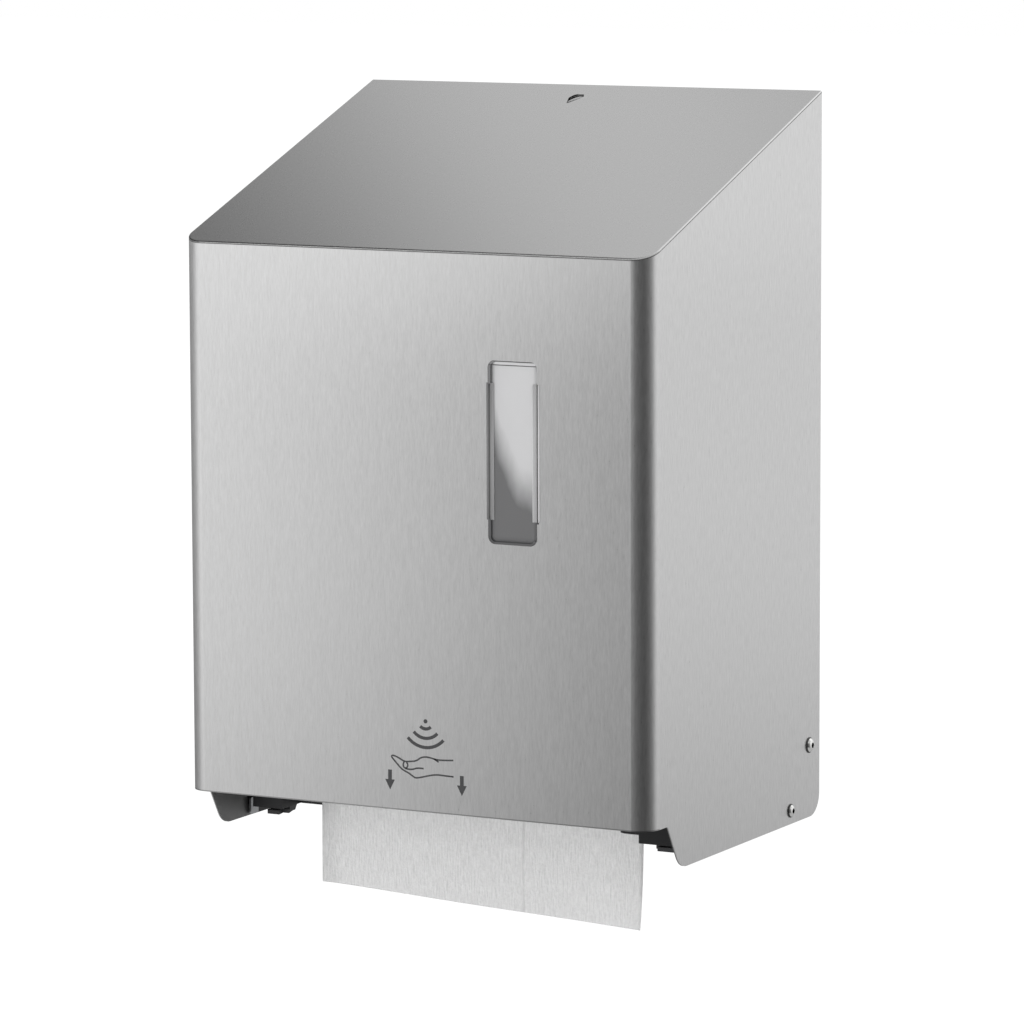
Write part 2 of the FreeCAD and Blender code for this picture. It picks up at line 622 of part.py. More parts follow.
def build_arms():
    """The two arms that reach forward from the back plate, and what the hubs turn on."""
    for name, side in (("roll_arm_left", "-"), ("roll_arm_right", "")):
        arm = new_body(name)
        faces = ["%s(arm_in)" % side, "%s(arm_in + arm_sheet)" % side]
        foot = ["%s(arm_in)" % side, "%s(arm_in + 20)" % side]
        if side:
            faces.reverse()
            foot.reverse()
        pad(arm, "X", *faces, shape_outline([
            ("-plate", "roll_z - 42"), ("-40", "roll_z - 36", "30"), ("-roll_y - 16", "roll_z - 16", "15"),
            ("-roll_y - 16", "roll_z + 16", "15"), ("-40", "roll_z + 36", "30"), ("-plate", "roll_z + 42"),
        ]))
        pad(arm, "Y", "-plate - arm_sheet", "-plate",
            box_outline(foot[0], "roll_z - 42", foot[1], "roll_z + 42", "0.5"))
        # Weight-saving window
        cut(arm, "X", "-200", "200", shape_outline([
            ("-18", "roll_z - 24", "6"), ("-84", "roll_z - 13", "6"), ("-84", "roll_z + 13", "6"),
            ("-18", "roll_z + 24", "6"),
        ]))
        if side:
            cut(arm, "X", "-200", "200", round_outline("-roll_y", "roll_z", "hub_pin"))
        else:
            pad(arm, "X", "arm_in + arm_sheet", "arm_in + 10", round_outline("-roll_y", "roll_z", "8.5"))
            cut(arm, "X", "-200", "200", round_outline("-roll_y", "roll_z", "5 + running"))
    tip = "(roll_half - hub_depth)"
    pin = place(new_body("hub_pin_left"), "0", "-roll_y", "roll_z")
    turn(pin, [("-%s - 0.5" % tip, "0"), ("-%s - 0.5" % tip, "hub_pin", "0.8"),
               ("-arm_in - arm_sheet", "hub_pin"), ("-arm_in - arm_sheet", "6.5", "0.4"),
               ("-arm_in - arm_sheet - 2", "6.5", "1"), ("-arm_in - arm_sheet - 2", "0")])
    plunger = place(new_body("hub_plunger"), "0", "-roll_y", "roll_z")
    turn(plunger, [(tip + " + 0.5", "0"), (tip + " + 0.5", "hub_pin", "0.8"),
                   ("roll_half + 4.2", "hub_pin"), ("roll_half + 4.2", "5"), ("arm_in + 10.4", "5"),
                   ("arm_in + 10.4", "8", "0.4"), ("arm_in + 12.6", "8", "1"), ("arm_in + 12.6", "0")])
    group("arm_screws", flat_head("arm_screw", "4", "2.4"), [
        ("%s(arm_in + 12)" % side, "-plate - arm_sheet", "roll_z %s 30" % way)
        for side in ("-", "") for way in ("-", "+")])


def build_frame():
    """The two side walls of the feed works with their front wings, and the parts between them."""
    for side in ("left", "right"):
        build_cheek(side)
    build_rails()
    across = ("-left_in + running", "right_in - running")
    lugs = (("-left_in + running", "-left_in + 3"), ("right_in - 3", "right_in - running"))

    tray = new_body("base_tray")
    pad(tray, "X", *across, shape_outline([
        ("-tail_y + 1.5", "works_low", "1"), ("-60", "works_low", "2"), ("-60", "works_low + 13"),
        ("-62", "works_low + 13"), ("-62", "works_low + 2", "1"), ("-tail_y + 3.5", "works_low + 2", "4"),
        ("-tail_y + 3.5", "-183"), ("-tail_y + 4.5", "-181"), ("-tail_y + 1.5", "-183"),
    ]))
    for x in (-78, -39, 0, 39, 78):
        pad(tray, "X", str(x - 0.8), str(x + 0.8), shape_outline([
            ("-tail_y + 3", "works_low + 1"), ("-61", "works_low + 1"), ("-61", "works_low + 10"),
            ("-100", "works_low + 7", "8"), ("-tail_y + 14", "works_low + 9", "8"), ("-tail_y + 3", "-190"),
        ]))
    for low, high in lugs:
        pad(tray, "X", low, high, box_outline("-112", "works_low + 1", "-88", "works_low + 12"))

    guide = new_body("front_guide")
    pad(guide, "X", *across, shape_outline([
        ("-tail_y - 1.5", "-206"), ("-tail_y - 1.5", "-178"), ("-tail_y - 5", "-175.5", "1.5"),
        ("-tail_y - 6.2", "-177.4"), ("-tail_y - 3.5", "-179.5", "1"), ("-tail_y - 3.5", "-206"),
    ]))
    for low, high in lugs:
        pad(guide, "X", low, high, shape_outline([
            ("-tail_y - 3", "-206"), ("-works_front + 4.5", "-206"), ("-works_front + 4.5", "-192", "3"),
            ("-tail_y - 3", "-188"),
        ]))

    bar = new_body("tear_bar")
    pad(bar, "Y", "-tail_y - 4.5", "-tail_y - 3.5", box_outline("-108", "-213.5", "108", "-192"))
    notch = cut(bar, "Y", "-tail_y - 6", "-tail_y - 2", shape_outline([
        ("-108", "-214"), ("-108", "-213.5"), ("-106", "-211.5"), ("-104", "-213.5"), ("-104", "-214"),
    ]))
    row = bar.newObject("PartDesign::LinearPattern", "tear_bar_teeth")
    row.Originals = [notch]
    row.Direction = (next(f for f in bar.Origin.OriginFeatures if f.Role == "X_Axis"), [""])
    row.Length = 212
    row.Occurrences = 54
    bar.Tip = row
    group("tear_bar_screws", flat_head("tear_bar_screw", "3", "1.5"),
          [(x, "-tail_y - 4.5", "-198") for x in ("-90", "-35", "35", "90")])
    spots = [(x, "-plate - 3", z) for x in ("-left_in + 7", "right_in - 7") for z in ("-120", "-200")]
    for turned, face, way in ((-90, "-left_in - cheek_wall", "-"), (90, "right_in + cheek_wall", "+")):
        spots += [("%s %s 2.5" % (face, way), "-100", "-212", turned), (face, "-158", "-199", turned)]
    group("cheek_screws", flat_head("cheek_screw", "3.2", "2"), spots)


def build_cheek(side):
    """One side wall. Its front is turned outward as a wing that carries the fascia."""
    cheek = new_body("cheek_" + side)

    def levels(near, far):
        """Two levels of X, counted from the inner face of this wall outward."""
        if side == "left":
            return "-left_in - (%s)" % far, "-left_in - (%s)" % near
        return "right_in + (%s)" % near, "right_in + (%s)" % far

    wing = ("-wing_out", "-left_in") if side == "left" else ("right_in", "wing_out")
    pad(cheek, "X", *levels("0", "cheek_wall"), shape_outline([
        ("-plate", "works_low + 2"), ("-works_front + 4", "works_low", "3"),
        ("-works_front", "works_low + 5"),
        ("-works_front", "-150"), ("-150", "-132", "8"), ("-100", "-118", "20"), ("-40", "-100", "20"),
        ("-plate", "-100"),
    ]))
    pad(cheek, "Y", "-works_front", "-works_front + 4", box_outline(wing[0], "works_low", wing[1], "-146"))
    foot = levels("-14", "0")
    pad(cheek, "Y", "-plate - 3", "-plate", box_outline(foot[0], "-216", foot[1], "-102"))
    # Ribs along the wall, outside
    for low, high in (("-60", "-57"), ("-24", "-21")):
        pad(cheek, "X", *levels("cheek_wall", "cheek_wall + 3"), box_outline(low, "-203", high, "-108"))
    cut(cheek, "X", "-200", "200", round_outline(FEED_Y, "nip_z", "6"))
    cut(cheek, "X", "-200", "200", round_outline(CARRIER_Y, CARRIER_Z, "2 + running"))
    if side == "left":
        pad(cheek, "X", *levels("cheek_wall", "cheek_wall + 3.5"), round_outline(IDLER_Y, IDLER_Z, "4"))
        cut(cheek, "X", "-200", "200", round_outline(IDLER_Y, IDLER_Z, "2"))
        cut(cheek, "X", "-200", "200", round_outline(MOTOR_Y, MOTOR_Z, "5"))
        cut(cheek, "Y", "-works_front - 1", "-works_front + 2.3", box_outline(
            "-switch_x - 5.3", "switch_z - 4.3", "-switch_x + 9.3", "switch_z + 4.3", "0.8"))
    else:
        cut(cheek, "Y", "-works_front - 1", "-works_front + 2.5", round_outline("127", "switch_z", "7.5"))
    # Opening for air and cables
    cut(cheek, "X", "-200", "200", shape_outline([
        ("-50", "-190", "5"), ("-86", "-190", "5"), ("-86", "-150", "5"), ("-50", "-138", "5"),
    ]))


def build_rails():
    """The two rails under the side walls: each a foot in front and a flange along the wall."""
    rails = []
    for name, wall, way, foot in (
        ("left", "-left_in - cheek_wall", "-", ("-136", "-128.3")),
        ("right", "right_in + cheek_wall", "+", ("120.9", "136")),
    ):
        rail = new_body("chassis_rail_" + name, kept=False)
        flange = sorted([wall, "%s %s 2.5" % (wall, way)], key=size)
        pad(rail, "X", *flange, shape_outline([
            ("-plate", "works_low + 1.3"), ("-plate", "-205"), ("-132", "-205", "4"), ("-150", "-214"),
            ("-153", "rail_base + 1.5"), ("-146", "rail_base + 1.5"), ("-142", "works_low + 1.3"),
        ]))
        inner, outer = sorted([flange[0], flange[1], *foot], key=size)[0::3]
        pad(rail, "X", inner, outer, shape_outline([
            ("-153.5", "rail_base + 0.6"), ("-153.5", "rail_base + 2.8"), ("-146", "rail_base + 2.8"),
            ("-146", "rail_base + 2"),
        ]))
        pad(rail, "X", *foot, shape_outline([
            ("-rail_front", "rail_base", "0.5"), ("-rail_front", "rail_base + 2.8", "0.5"),
            ("-153", "rail_base + 2.8"), ("-153", "rail_base + 0.4"),
        ]))
        rails.append(rail)
    bars = doc.addObject("Part::Compound", "chassis_rails")
    bars.Label = "chassis_rails"
    bars.Links = rails
    parts.append(bars)


def involute(angle):
    return math.tan(angle) - angle


def tooth_gap(teeth, middle):
    """The outline of the space between two teeth of a 1 mm module, 20 degree gear."""
    pitch = teeth / 2
    base = pitch * math.cos(math.radians(20))
    play = 0.0625 / pitch

    def half_gap(radius):
        pressure = math.acos(min(1, base / radius))
        return math.pi / (2 * teeth) - involute(math.radians(20)) + involute(pressure) + play

    radii = [pitch + 1.3, pitch + 0.3, max(base, pitch - 0.7), pitch - 1.25]
    left = [(r, math.radians(middle) - half_gap(max(r, base))) for r in radii]
    right = [(r, math.radians(middle) + half_gap(max(r, base))) for r in reversed(radii)]
    return shape_outline([
        (round(r * math.cos(a), 4), round(r * math.sin(a), 4)) for r, a in left + right])


def gear(name, y, z, bore, hub, middle):
    """A spur gear with a thinned web. Its faces lie outside the left cheek."""
    teeth = GEAR_TEETH[name]
    body = place(new_body(name), "0", y, z)
    near, far = GEAR_NEAR, GEAR_NEAR + " - gear_wide"
    profile = [(far, bore), (far, teeth / 2 + 1.0), (near, teeth / 2 + 1.0), (near, bore)]
    if hub:
        rim = teeth / 2 - 3
        profile = [(far, bore), (far, hub), (far + " + 2.5", hub), (far + " + 2.5", rim), (far, rim),
                   (far, teeth / 2 + 1.0), (near, teeth / 2 + 1.0), (near, rim),
                   (near + " - 2.5", rim), (near + " - 2.5", hub), (near, hub), (near, bore)]
    turn(body, profile)
    gap = cut(body, "X", far + " - 1", near + " + 1", tooth_gap(teeth, middle))
    ring = body.newObject("PartDesign::PolarPattern", name + "_teeth")
    ring.Originals = [gap]
    ring.Axis = (next(f for f in body.Origin.OriginFeatures if f.Role == "X_Axis"), [""])
    ring.Angle = 360
    ring.Occurrences = teeth
    body.Tip = ring
    return body


def build_feed():
    """The driven roller, its gears and motor, and the sprung roller that presses the paper on it."""
    shaft = place(new_body("feed_shaft"), "0", FEED_Y, "nip_z")
    left_end = GEAR_NEAR + " - gear_wide - 1.5"
    turn(shaft, [(left_end, "0"), (left_end, "3", "0.5"), ("122", "3", "0.5"), ("122", "0")])
    roller = place(new_body("feed_roller"), "0", FEED_Y, "nip_z")
    turn(roller, [("-100", "3"), ("-100", "feed_radius - 1"), ("100", "feed_radius - 1"),
                  ("100", "3")])
    ring = new_body("feed_ring", kept=False)
    turn(ring, [("-7", "feed_radius - 1"), ("-7", "feed_radius"), ("7", "feed_radius"),
                ("7", "feed_radius - 1")])
    group("feed_rings", ring, [(x, FEED_Y, "nip_z") for x in (-80, -40, 0, 40, 80)])
    bush = new_body("feed_bush", kept=False)
    turn(bush, [("-2", "3 + running"), ("-2", "8.5", "0.4"), ("0", "8.5"), ("0", "6"),
                ("cheek_wall + 0.5", "6", "0.3"), ("cheek_wall + 0.5", "3 + running")])
    group("feed_bearings", bush, [("right_in", FEED_Y, "nip_z"), ("-left_in", FEED_Y, "nip_z", 180)])

    gear("feed_gear", FEED_Y, "nip_z", "3", "6", 40)
    gear("idler_gear", IDLER_Y, IDLER_Z, "2 + running", "4.5", 227.5)
    gear("motor_pinion", MOTOR_Y, MOTOR_Z, "1.5", None, 220)
    pin = place(new_body("idler_pin"), "0", IDLER_Y, IDLER_Z)
    under_head = GEAR_NEAR + " - gear_wide - 0.3"
    turn(pin, [(under_head + " - 1.7", "0"), (under_head + " - 1.7", "3.6", "0.5"), (under_head, "3.6"),
               (under_head, "2"), ("-left_in", "2"), ("-left_in", "0")])
    spindle = place(new_body("motor_shaft"), "0", MOTOR_Y, MOTOR_Z)
    turn(spindle, [(left_end, "0"), (left_end, "1.5", "0.3"), ("-left_in + 6", "1.5"), ("-left_in + 6", "0")])
    motor = place(new_body("gearmotor"), "0", MOTOR_Y, MOTOR_Z)
    face = "-left_in"
    turn(motor, [(face, "1.5 + running"), (face, "4.6"), (face + " - 2.6", "4.6"),
                 (face + " - 2.6", "1.5 + running")])
    turn(motor, [(face, "1.5 + running"), (face, "14.5"), (face + " + 3", "14.5"),
                 (face + " + 3", "13.5"), (face + " + 30", "13.5", "0.6"), (face + " + 30", "12"),
                 (face + " + 40", "12", "1.5"), (face + " + 40", "0"), (face + " + 6.5", "0"),
                 (face + " + 6.5", "1.5 + running")])
    for z in ("-5", "5"):
        terminal = box_outline("-1.4", z + " - 0.3", "1.4", z + " + 0.3")
        pad(motor, "X", face + " + 39", face + " + 45", terminal)

    carrier = place(new_body("pinch_carrier"), "0", CARRIER_Y, CARRIER_Z)
    arm = "(right_in - 8)"
    reach_y, reach_z = "(%s) - (%s)" % (PINCH_Y, CARRIER_Y), "nip_z - (%s)" % CARRIER_Z
    for low, high in (("-" + arm, "-%s + 2" % arm), (arm + " - 2", arm)):
        pad(carrier, "X", low, high, shape_outline([
            ("-3", "3.4", "2.5"), ("3.4", "3.4", "2.5"), (reach_y + " + 4.4", reach_z + " + 2", "2"),
            (reach_y + " + 4.4", reach_z + " - 4", "2"), (reach_y + " - 4", reach_z + " - 4", "2"),
            ("-3", "-6", "5"),
        ]))
    pad(carrier, "X", "-%s + 1" % arm, arm + " - 1", shape_outline([
        ("-3", "-1.6"), ("2.4", "-1.6", "0.6"), ("2.4", "0.6", "0.6"), ("-0.8", "0.6", "0.8"),
        ("-0.8", "3.2"), ("-3", "3.2"),
    ]))
    for low, high in (("-left_in - cheek_wall", "-%s" % arm), (arm, "right_in + cheek_wall")):
        pad(carrier, "X", low, high, round_outline("0", "0", "2"))
    cut(carrier, "X", "-110", "110", round_outline(reach_y, reach_z, "2"))
    axle = place(new_body("pinch_shaft"), "0", PINCH_Y, "nip_z")
    turn(axle, [("-%s - 1" % arm, "0"), ("-%s - 1" % arm, "2", "0.3"), (arm + " + 1", "2", "0.3"),
                (arm + " + 1", "0")])
    pinch = place(new_body("pinch_roller"), "0", PINCH_Y, "nip_z")
    turn(pinch, [("-98", "2 + running"), ("-98", "pinch_radius", "0.8"), ("98", "pinch_radius", "0.8"),
                 ("98", "2 + running")])


def build_paper():
    """The web from the roll to the nip, and the sheet that hangs out."""
    roll = Vector(0, -size("roll_y"), size("roll_z"))
    pinch = Vector(0, size(PINCH_Y), size("nip_z"))
    away = size("roll_radius + 0.3 + paper / 2")
    close = size("pinch_radius + nip_gap + paper / 2")
    line = roll - pinch
    lean = math.atan2(line.z, line.y) - math.acos((away + close) / line.Length)
    outward = Vector(0, -math.cos(lean), -math.sin(lean))
    along = Vector(0, -math.sin(lean), math.cos(lean))
    first = pinch - outward * close + along * 0.8
    last = roll + outward * away
    half = outward * size("paper / 2")
    web = new_body("paper_web")
    pad(web, "X", "-roll_half", "roll_half", shape_outline([
        (p.y, p.z) for p in (first - half, last - half, last + half, first + half)]))
    tail = new_body("paper_tail")
    pad(tail, "Y", "-tail_y - paper / 2", "-tail_y + paper / 2", shape_outline([
        ("-roll_half", "tail_left"), ("roll_half", "tail_right"),
        ("roll_half", "nip_z + 1.8"), ("-roll_half", "nip_z + 1.8"),
    ]))


def build_controls():
    """The fascia with its button and switch, and the sensor that looks down beside the paper."""
    fascia = new_body("fascia")
    pad(fascia, "Y", "-works_front - 2", "-works_front", box_outline("-140", "-192", "140", "-132", "4"))
    pad(fascia, "X", "-109", "109", box_outline("-works_front", "-134", "-works_front + 6", "-132"))
    pad(fascia, "X", "-109", "109", box_outline("-works_front", "-192", "-works_front + 3", "-190.4"))
    cut(fascia, "Y", "-works_front - 3", "-works_front + 0.5", round_outline("127", "switch_z", "6.2"))
    cut(fascia, "Y", "-works_front - 3", "-works_front + 0.5",
        box_outline("-switch_x - 3.3", "switch_z - 2.3", "-switch_x + 7.3", "switch_z + 2.3", "0.6"))
    group("fascia_screws", flat_head("fascia_screw", "2.8", "1.8"),
          [(x, "-works_front - 2", z) for x in ("-127", "127") for z in ("-187", "-151")])

    button = place(new_body("feed_button"), "127", "-works_front", "switch_z")
    pad(button, "Y", "0.1", "0.9", round_outline("0", "0", "7.2"))
    pad(button, "Y", "-4.6", "0.5", round_outline("0", "0", "6"))
    bevel(button, "0.6", lambda edge: edge.Vertexes[0].Y < -4)
    switch = place(new_body("power_switch"), "-switch_x", "-works_front", "switch_z")
    pad(switch, "Y", "0.1", "2", box_outline("-5", "-4", "5", "4", "0.6"))
    pad(switch, "Y", "-4", "0.5", box_outline("-3", "-2", "3", "2", "0.4"))
    for x in (-1.6, 0, 1.6):
        cut(switch, "Y", "-5", "-3.5", box_outline(str(x - 0.35), "-3", str(x + 0.35), "3"))

    housing = new_body("sensor_housing")
    pad(housing, "X", "-20", "20", shape_outline([
        ("-155", "-209"), ("-176", "-209", "3"), ("-176", "-201", "5"), ("-170", "-196", "3"),
        ("-155", "-196"),
    ]))
    pad(housing, "X", "-8", "8", box_outline("-156", "-207", "-tail_y - 4.5", "-198"))
    cut(housing, "Z", "-210", "-206", round_outline("0", "-165.5", "5"))
    lens = place(new_body("sensor_lens"), "0", "-165.5", "0")
    pad(lens, "Z", "-209.4", "-206", round_outline("0", "0", "5"))
    bevel(lens, "0.6", lambda edge: edge.Vertexes[0].Z < -209)


def build_electrics():
    """The battery box with its door and cells, and the control board."""
    box = new_body("battery_box")
    pad(box, "Y", "-box_front", "-plate", box_outline("-box_half", "box_low", "box_half", "box_high", "2"))
    cut(box, "Y", "-box_front - 1", "-plate - box_wall", box_outline(
        "-box_half + box_wall", "box_low + box_wall", "box_half - box_wall", "box_high - box_wall"))
    for low, high in (("-box_half", "-box_half + box_wall"), ("box_half - box_wall", "box_half")):
        pad(box, "X", low, high, shape_outline([
            ("-box_front + 8", "box_low"), ("-box_front + 6", "box_low - 1.8"),
            (DOOR_Y + " - 4", "box_low - 1.8", "3"), (DOOR_Y + " - 4", "box_low + 6", "3"),
            ("-box_front + 1", "box_low + 6"), ("-box_front + 8", "box_low + 4"),
        ]))
    cut(box, "X", "-80", "80", round_outline(DOOR_Y, DOOR_Z, "1.5 + running"))
    for x in ("-30.6", "30.6"):
        pad(box, "X", x + " - 1", x + " + 1", box_outline("-41.8", "box_low + 1", "-40.2", "box_low + 8"))

    door = place(new_body("battery_door"), "0", DOOR_Y, DOOR_Z)
    edge = "(box_half - box_wall - 0.4)"
    pad(door, "X", "-" + edge, edge, round_outline("0", "0", "2"))
    pad(door, "X", "-box_half + 0.5", "box_half - 0.5", round_outline("0", "0", "1.5"))
    pad(door, "Y", "-1", "1", box_outline("-" + edge, "0", edge, "box_high - (%s)" % DOOR_Z, "0.8"))
    pad(door, "Y", "-2.6", "-1", shape_outline([
        ("-12", "28"), ("12", "28"), ("10", "33"), ("-10", "33"),
    ]))
    for x in (-45, -15, 15, 45):
        pad(door, "X", str(x - 0.8), str(x + 0.8), shape_outline([
            ("0.9", "5"), ("1.8", "7"), ("1.8", "31"), ("0.9", "33"),
        ]))

    cell = new_body("battery_cell", kept=False)
    turn(cell, [("0.3", "0"), ("0.3", "cell_radius", "0.8"), ("cell_long - 1.5", "cell_radius", "0.8"),
                ("cell_long - 1.5", "5"), ("cell_long", "4.8"), ("cell_long", "0")])
    cell_z = "box_low + box_wall + 0.3 + cell_radius"
    spots = [(0, y, cell_z, angle) for y in ("-23.5", "-58.5") for angle in (0, 180)]
    group("battery_cells", cell, spots)
    contact = new_body("battery_contact", kept=False)
    box_end = "box_half - box_wall"
    pad(contact, "X", box_end + " - 0.8", box_end, box_outline("-10", "-12", "10", "12"))
    turn(contact, [("cell_long + 0.6", "0"), ("cell_long + 0.6", "3"), (box_end + " - 0.6", "6.5"),
                   (box_end + " - 0.6", "0")])
    group("battery_contacts", contact, spots)

    board = new_body("control_board")
    pad(board, "Y", "-14", "-12.4", box_outline("-50", "-205", "50", "-145"))
    for x, z, half, tall, deep in ((-30, -160, 9, 7, 15), (-4, -172, 7, 7, 3), (28, -165, 6, 10, 9),
                                   (12, -193, 14, 4, 10), (-34, -190, 8, 5, 6)):
        pad(board, "Y", str(-14 - deep), "-14",
            box_outline(str(x - half), str(z - tall), str(x + half), str(z + tall)))
    for x, z, radius, deep in ((40, -190, 5, 13), (-14, -192, 4, 10)):
        pad(board, "Y", str(-14 - deep), "-14", round_outline(str(x), str(z), str(radius)))
    spacer = new_body("board_spacer", kept=False)
    pad(spacer, "Y", "-12.4", "-plate", round_outline("0", "0", "3"))
    pad(spacer, "Y", "-15.4", "-12.2", round_outline("0", "0", "1.5"))
    cut(board, "Y", "-15", "-12", lambda drawing: [drawing.circle(x, z, "1.5") for x in ("-44", "44")
                                                   for z in ("-199", "-151")][-1])
    group("board_spacers", spacer, [(x, 0, z) for x in ("-44", "44") for z in ("-199", "-151")])


for build in (
    build_cover, build_window, build_hinge_screws, build_back, build_lock,
    build_roll, build_arms, build_frame, build_feed, build_paper, build_controls, build_electrics,
):
    build()
    doc.recompute()

for thing in doc.Objects:
    if "Invalid" in thing.State or "Error" in thing.State:
        raise RuntimeError("%s did not build: %s" % (thing.Name, thing.State))
for part in parts:
    if part.Shape.isNull() or not part.Shape.isValid():
        raise RuntimeError("%s has no valid shape" % part.Label)

os.makedirs("parts", exist_ok=True)
for part in parts:
    part.Shape.exportStep(os.path.join("parts", part.Label + ".step"))
print("%d pieces written" % len(parts))
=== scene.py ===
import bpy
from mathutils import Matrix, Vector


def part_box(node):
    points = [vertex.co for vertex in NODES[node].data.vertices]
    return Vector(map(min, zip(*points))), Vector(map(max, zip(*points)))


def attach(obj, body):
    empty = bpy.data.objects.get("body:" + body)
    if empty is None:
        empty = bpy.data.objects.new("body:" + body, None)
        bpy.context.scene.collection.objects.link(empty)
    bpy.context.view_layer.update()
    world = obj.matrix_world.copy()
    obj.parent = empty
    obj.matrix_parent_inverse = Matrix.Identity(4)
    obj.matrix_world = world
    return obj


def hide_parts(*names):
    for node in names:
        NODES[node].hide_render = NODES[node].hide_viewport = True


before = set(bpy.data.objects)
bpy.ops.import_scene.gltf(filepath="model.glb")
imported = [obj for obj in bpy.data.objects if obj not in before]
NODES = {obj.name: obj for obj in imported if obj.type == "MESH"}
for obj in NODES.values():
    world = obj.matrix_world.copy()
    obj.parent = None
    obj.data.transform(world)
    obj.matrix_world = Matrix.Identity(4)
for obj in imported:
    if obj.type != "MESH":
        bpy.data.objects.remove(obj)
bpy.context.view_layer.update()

import math
from functools import partialmethod

import bpy
from bpy.props import FloatProperty, FloatVectorProperty, PointerProperty
from bpy.types import Operator, Panel, PropertyGroup
from mathutils import Matrix, Vector

bl_info = {
    "name": "Roll Towel Dispenser",
    "version": (1, 0, 0),
    "blender": (4, 5, 0),
    "location": "View3D > Sidebar > Dispenser",
    "description": "Finishes of a wall dispenser for towel rolls, its sign, its paper and its studio",
    "category": "Add Mesh",
}

# Outer faces of the folded cover
FRONT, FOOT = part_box("cover_wrap")[0][1:]
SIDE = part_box("cover_wrap")[1][0]

# Sizes shared with the solids
BEND = 0.012
SHEET = 0.0012
LID_RISE = 0.081
KEY_SLOT = (-0.0015, -0.0205)

# Places closer than this count as one
TINY = 1e-6


def colour(name, description, default):
    return FloatVectorProperty(
        name=name, description=description, subtype="COLOR", size=3, min=0, max=1, default=default)


def length(name, description, default):
    return FloatProperty(name=name, description=description, default=default, unit="LENGTH", precision=5)


class SteelSettings(PropertyGroup):
    """Colours of the metals."""

    cover: colour("Cover steel", "Colour of the brushed stainless cover", (0.74, 0.74, 0.74))
    zinc: colour("Zinc plating", "Colour of the plated inner sheet parts", (0.55, 0.56, 0.57))
    bright: colour("Bright steel", "Colour of screws, pins and shafts", (0.78, 0.78, 0.77))
    grain_run: length("Grain length", "Length of the brush marks", 0.0044)
    grain_gap: length("Grain width", "Width of the brush marks", 0.00042)


class PaperSettings(PropertyGroup):
    """The towel and how it hangs."""

    colour: colour("Paper", "Colour of the towel", (0.82, 0.82, 0.82))
    core: colour("Core", "Colour of the cardboard core", (0.50, 0.38, 0.26))
    curl: length("Edge curl", "How far the right edge bends back above its corner", 0.0046)
    thick: length("Thickness", "Thickness of the towel", 0.00025)
    fold: length("Fold line", "Where the faint upright fold runs, to the right of the middle", 0.0298)


class SignSettings(PropertyGroup):
    """The small sign on the front."""

    ink: colour("Ink", "Colour of the sign", (0.058, 0.058, 0.060))
    line: length("Line width", "Width of the thin lines of the hand", 0.00095)
    proud: length("Ink height", "How far the ink stands on the steel", 0.00006)


class PlasticSettings(PropertyGroup):
    """Colours of the moulded pieces."""

    black: colour("Black plastic", "Colour of the side walls, tray and guide", (0.012, 0.012, 0.013))
    grey: colour("Grey plastic", "Colour of the fascia, hubs and rollers", (0.10, 0.105, 0.11))
    white: colour("White plastic", "Colour of gears, button and spacers", (0.78, 0.78, 0.75))
    window: colour("Window", "Colour of the haze in the window", (0.86, 0.86, 0.87))
    rail: colour("Window frame", "Colour of the frame behind the window", (0.46, 0.46, 0.465))


SETTINGS = {
    "steel": SteelSettings, "paper": PaperSettings, "sign": SignSettings, "plastic": PlasticSettings}


class Value:
    """A socket of a material, on which maths adds its nodes."""

    def __init__(self, finish, socket):
        self.finish = finish
        self.socket = socket

    def maths(self, operation, other=0.0):
        return self.finish.node("Math", {"operation": operation}, {0: self, 1: other})

    def swapped(self, operation, other):
        return self.finish.node("Math", {"operation": operation}, {0: other, 1: self})

    __add__ = __radd__ = partialmethod(maths, "ADD")
    __sub__ = partialmethod(maths, "SUBTRACT")
    __rsub__ = partialmethod(swapped, "SUBTRACT")
    __mul__ = __rmul__ = partialmethod(maths, "MULTIPLY")
    __truediv__ = partialmethod(maths, "DIVIDE")
    __pow__ = partialmethod(maths, "POWER")
    __gt__ = partialmethod(maths, "GREATER_THAN")
    __lt__ = partialmethod(maths, "LESS_THAN")
    sine = partialmethod(maths, "SINE")
    size = partialmethod(maths, "ABSOLUTE")
    at_least = partialmethod(maths, "MAXIMUM")
    wrapped = partialmethod(maths, "FRACT")

    def clipped(self):
        return self.finish.node("Clamp", {}, {"Value": self})


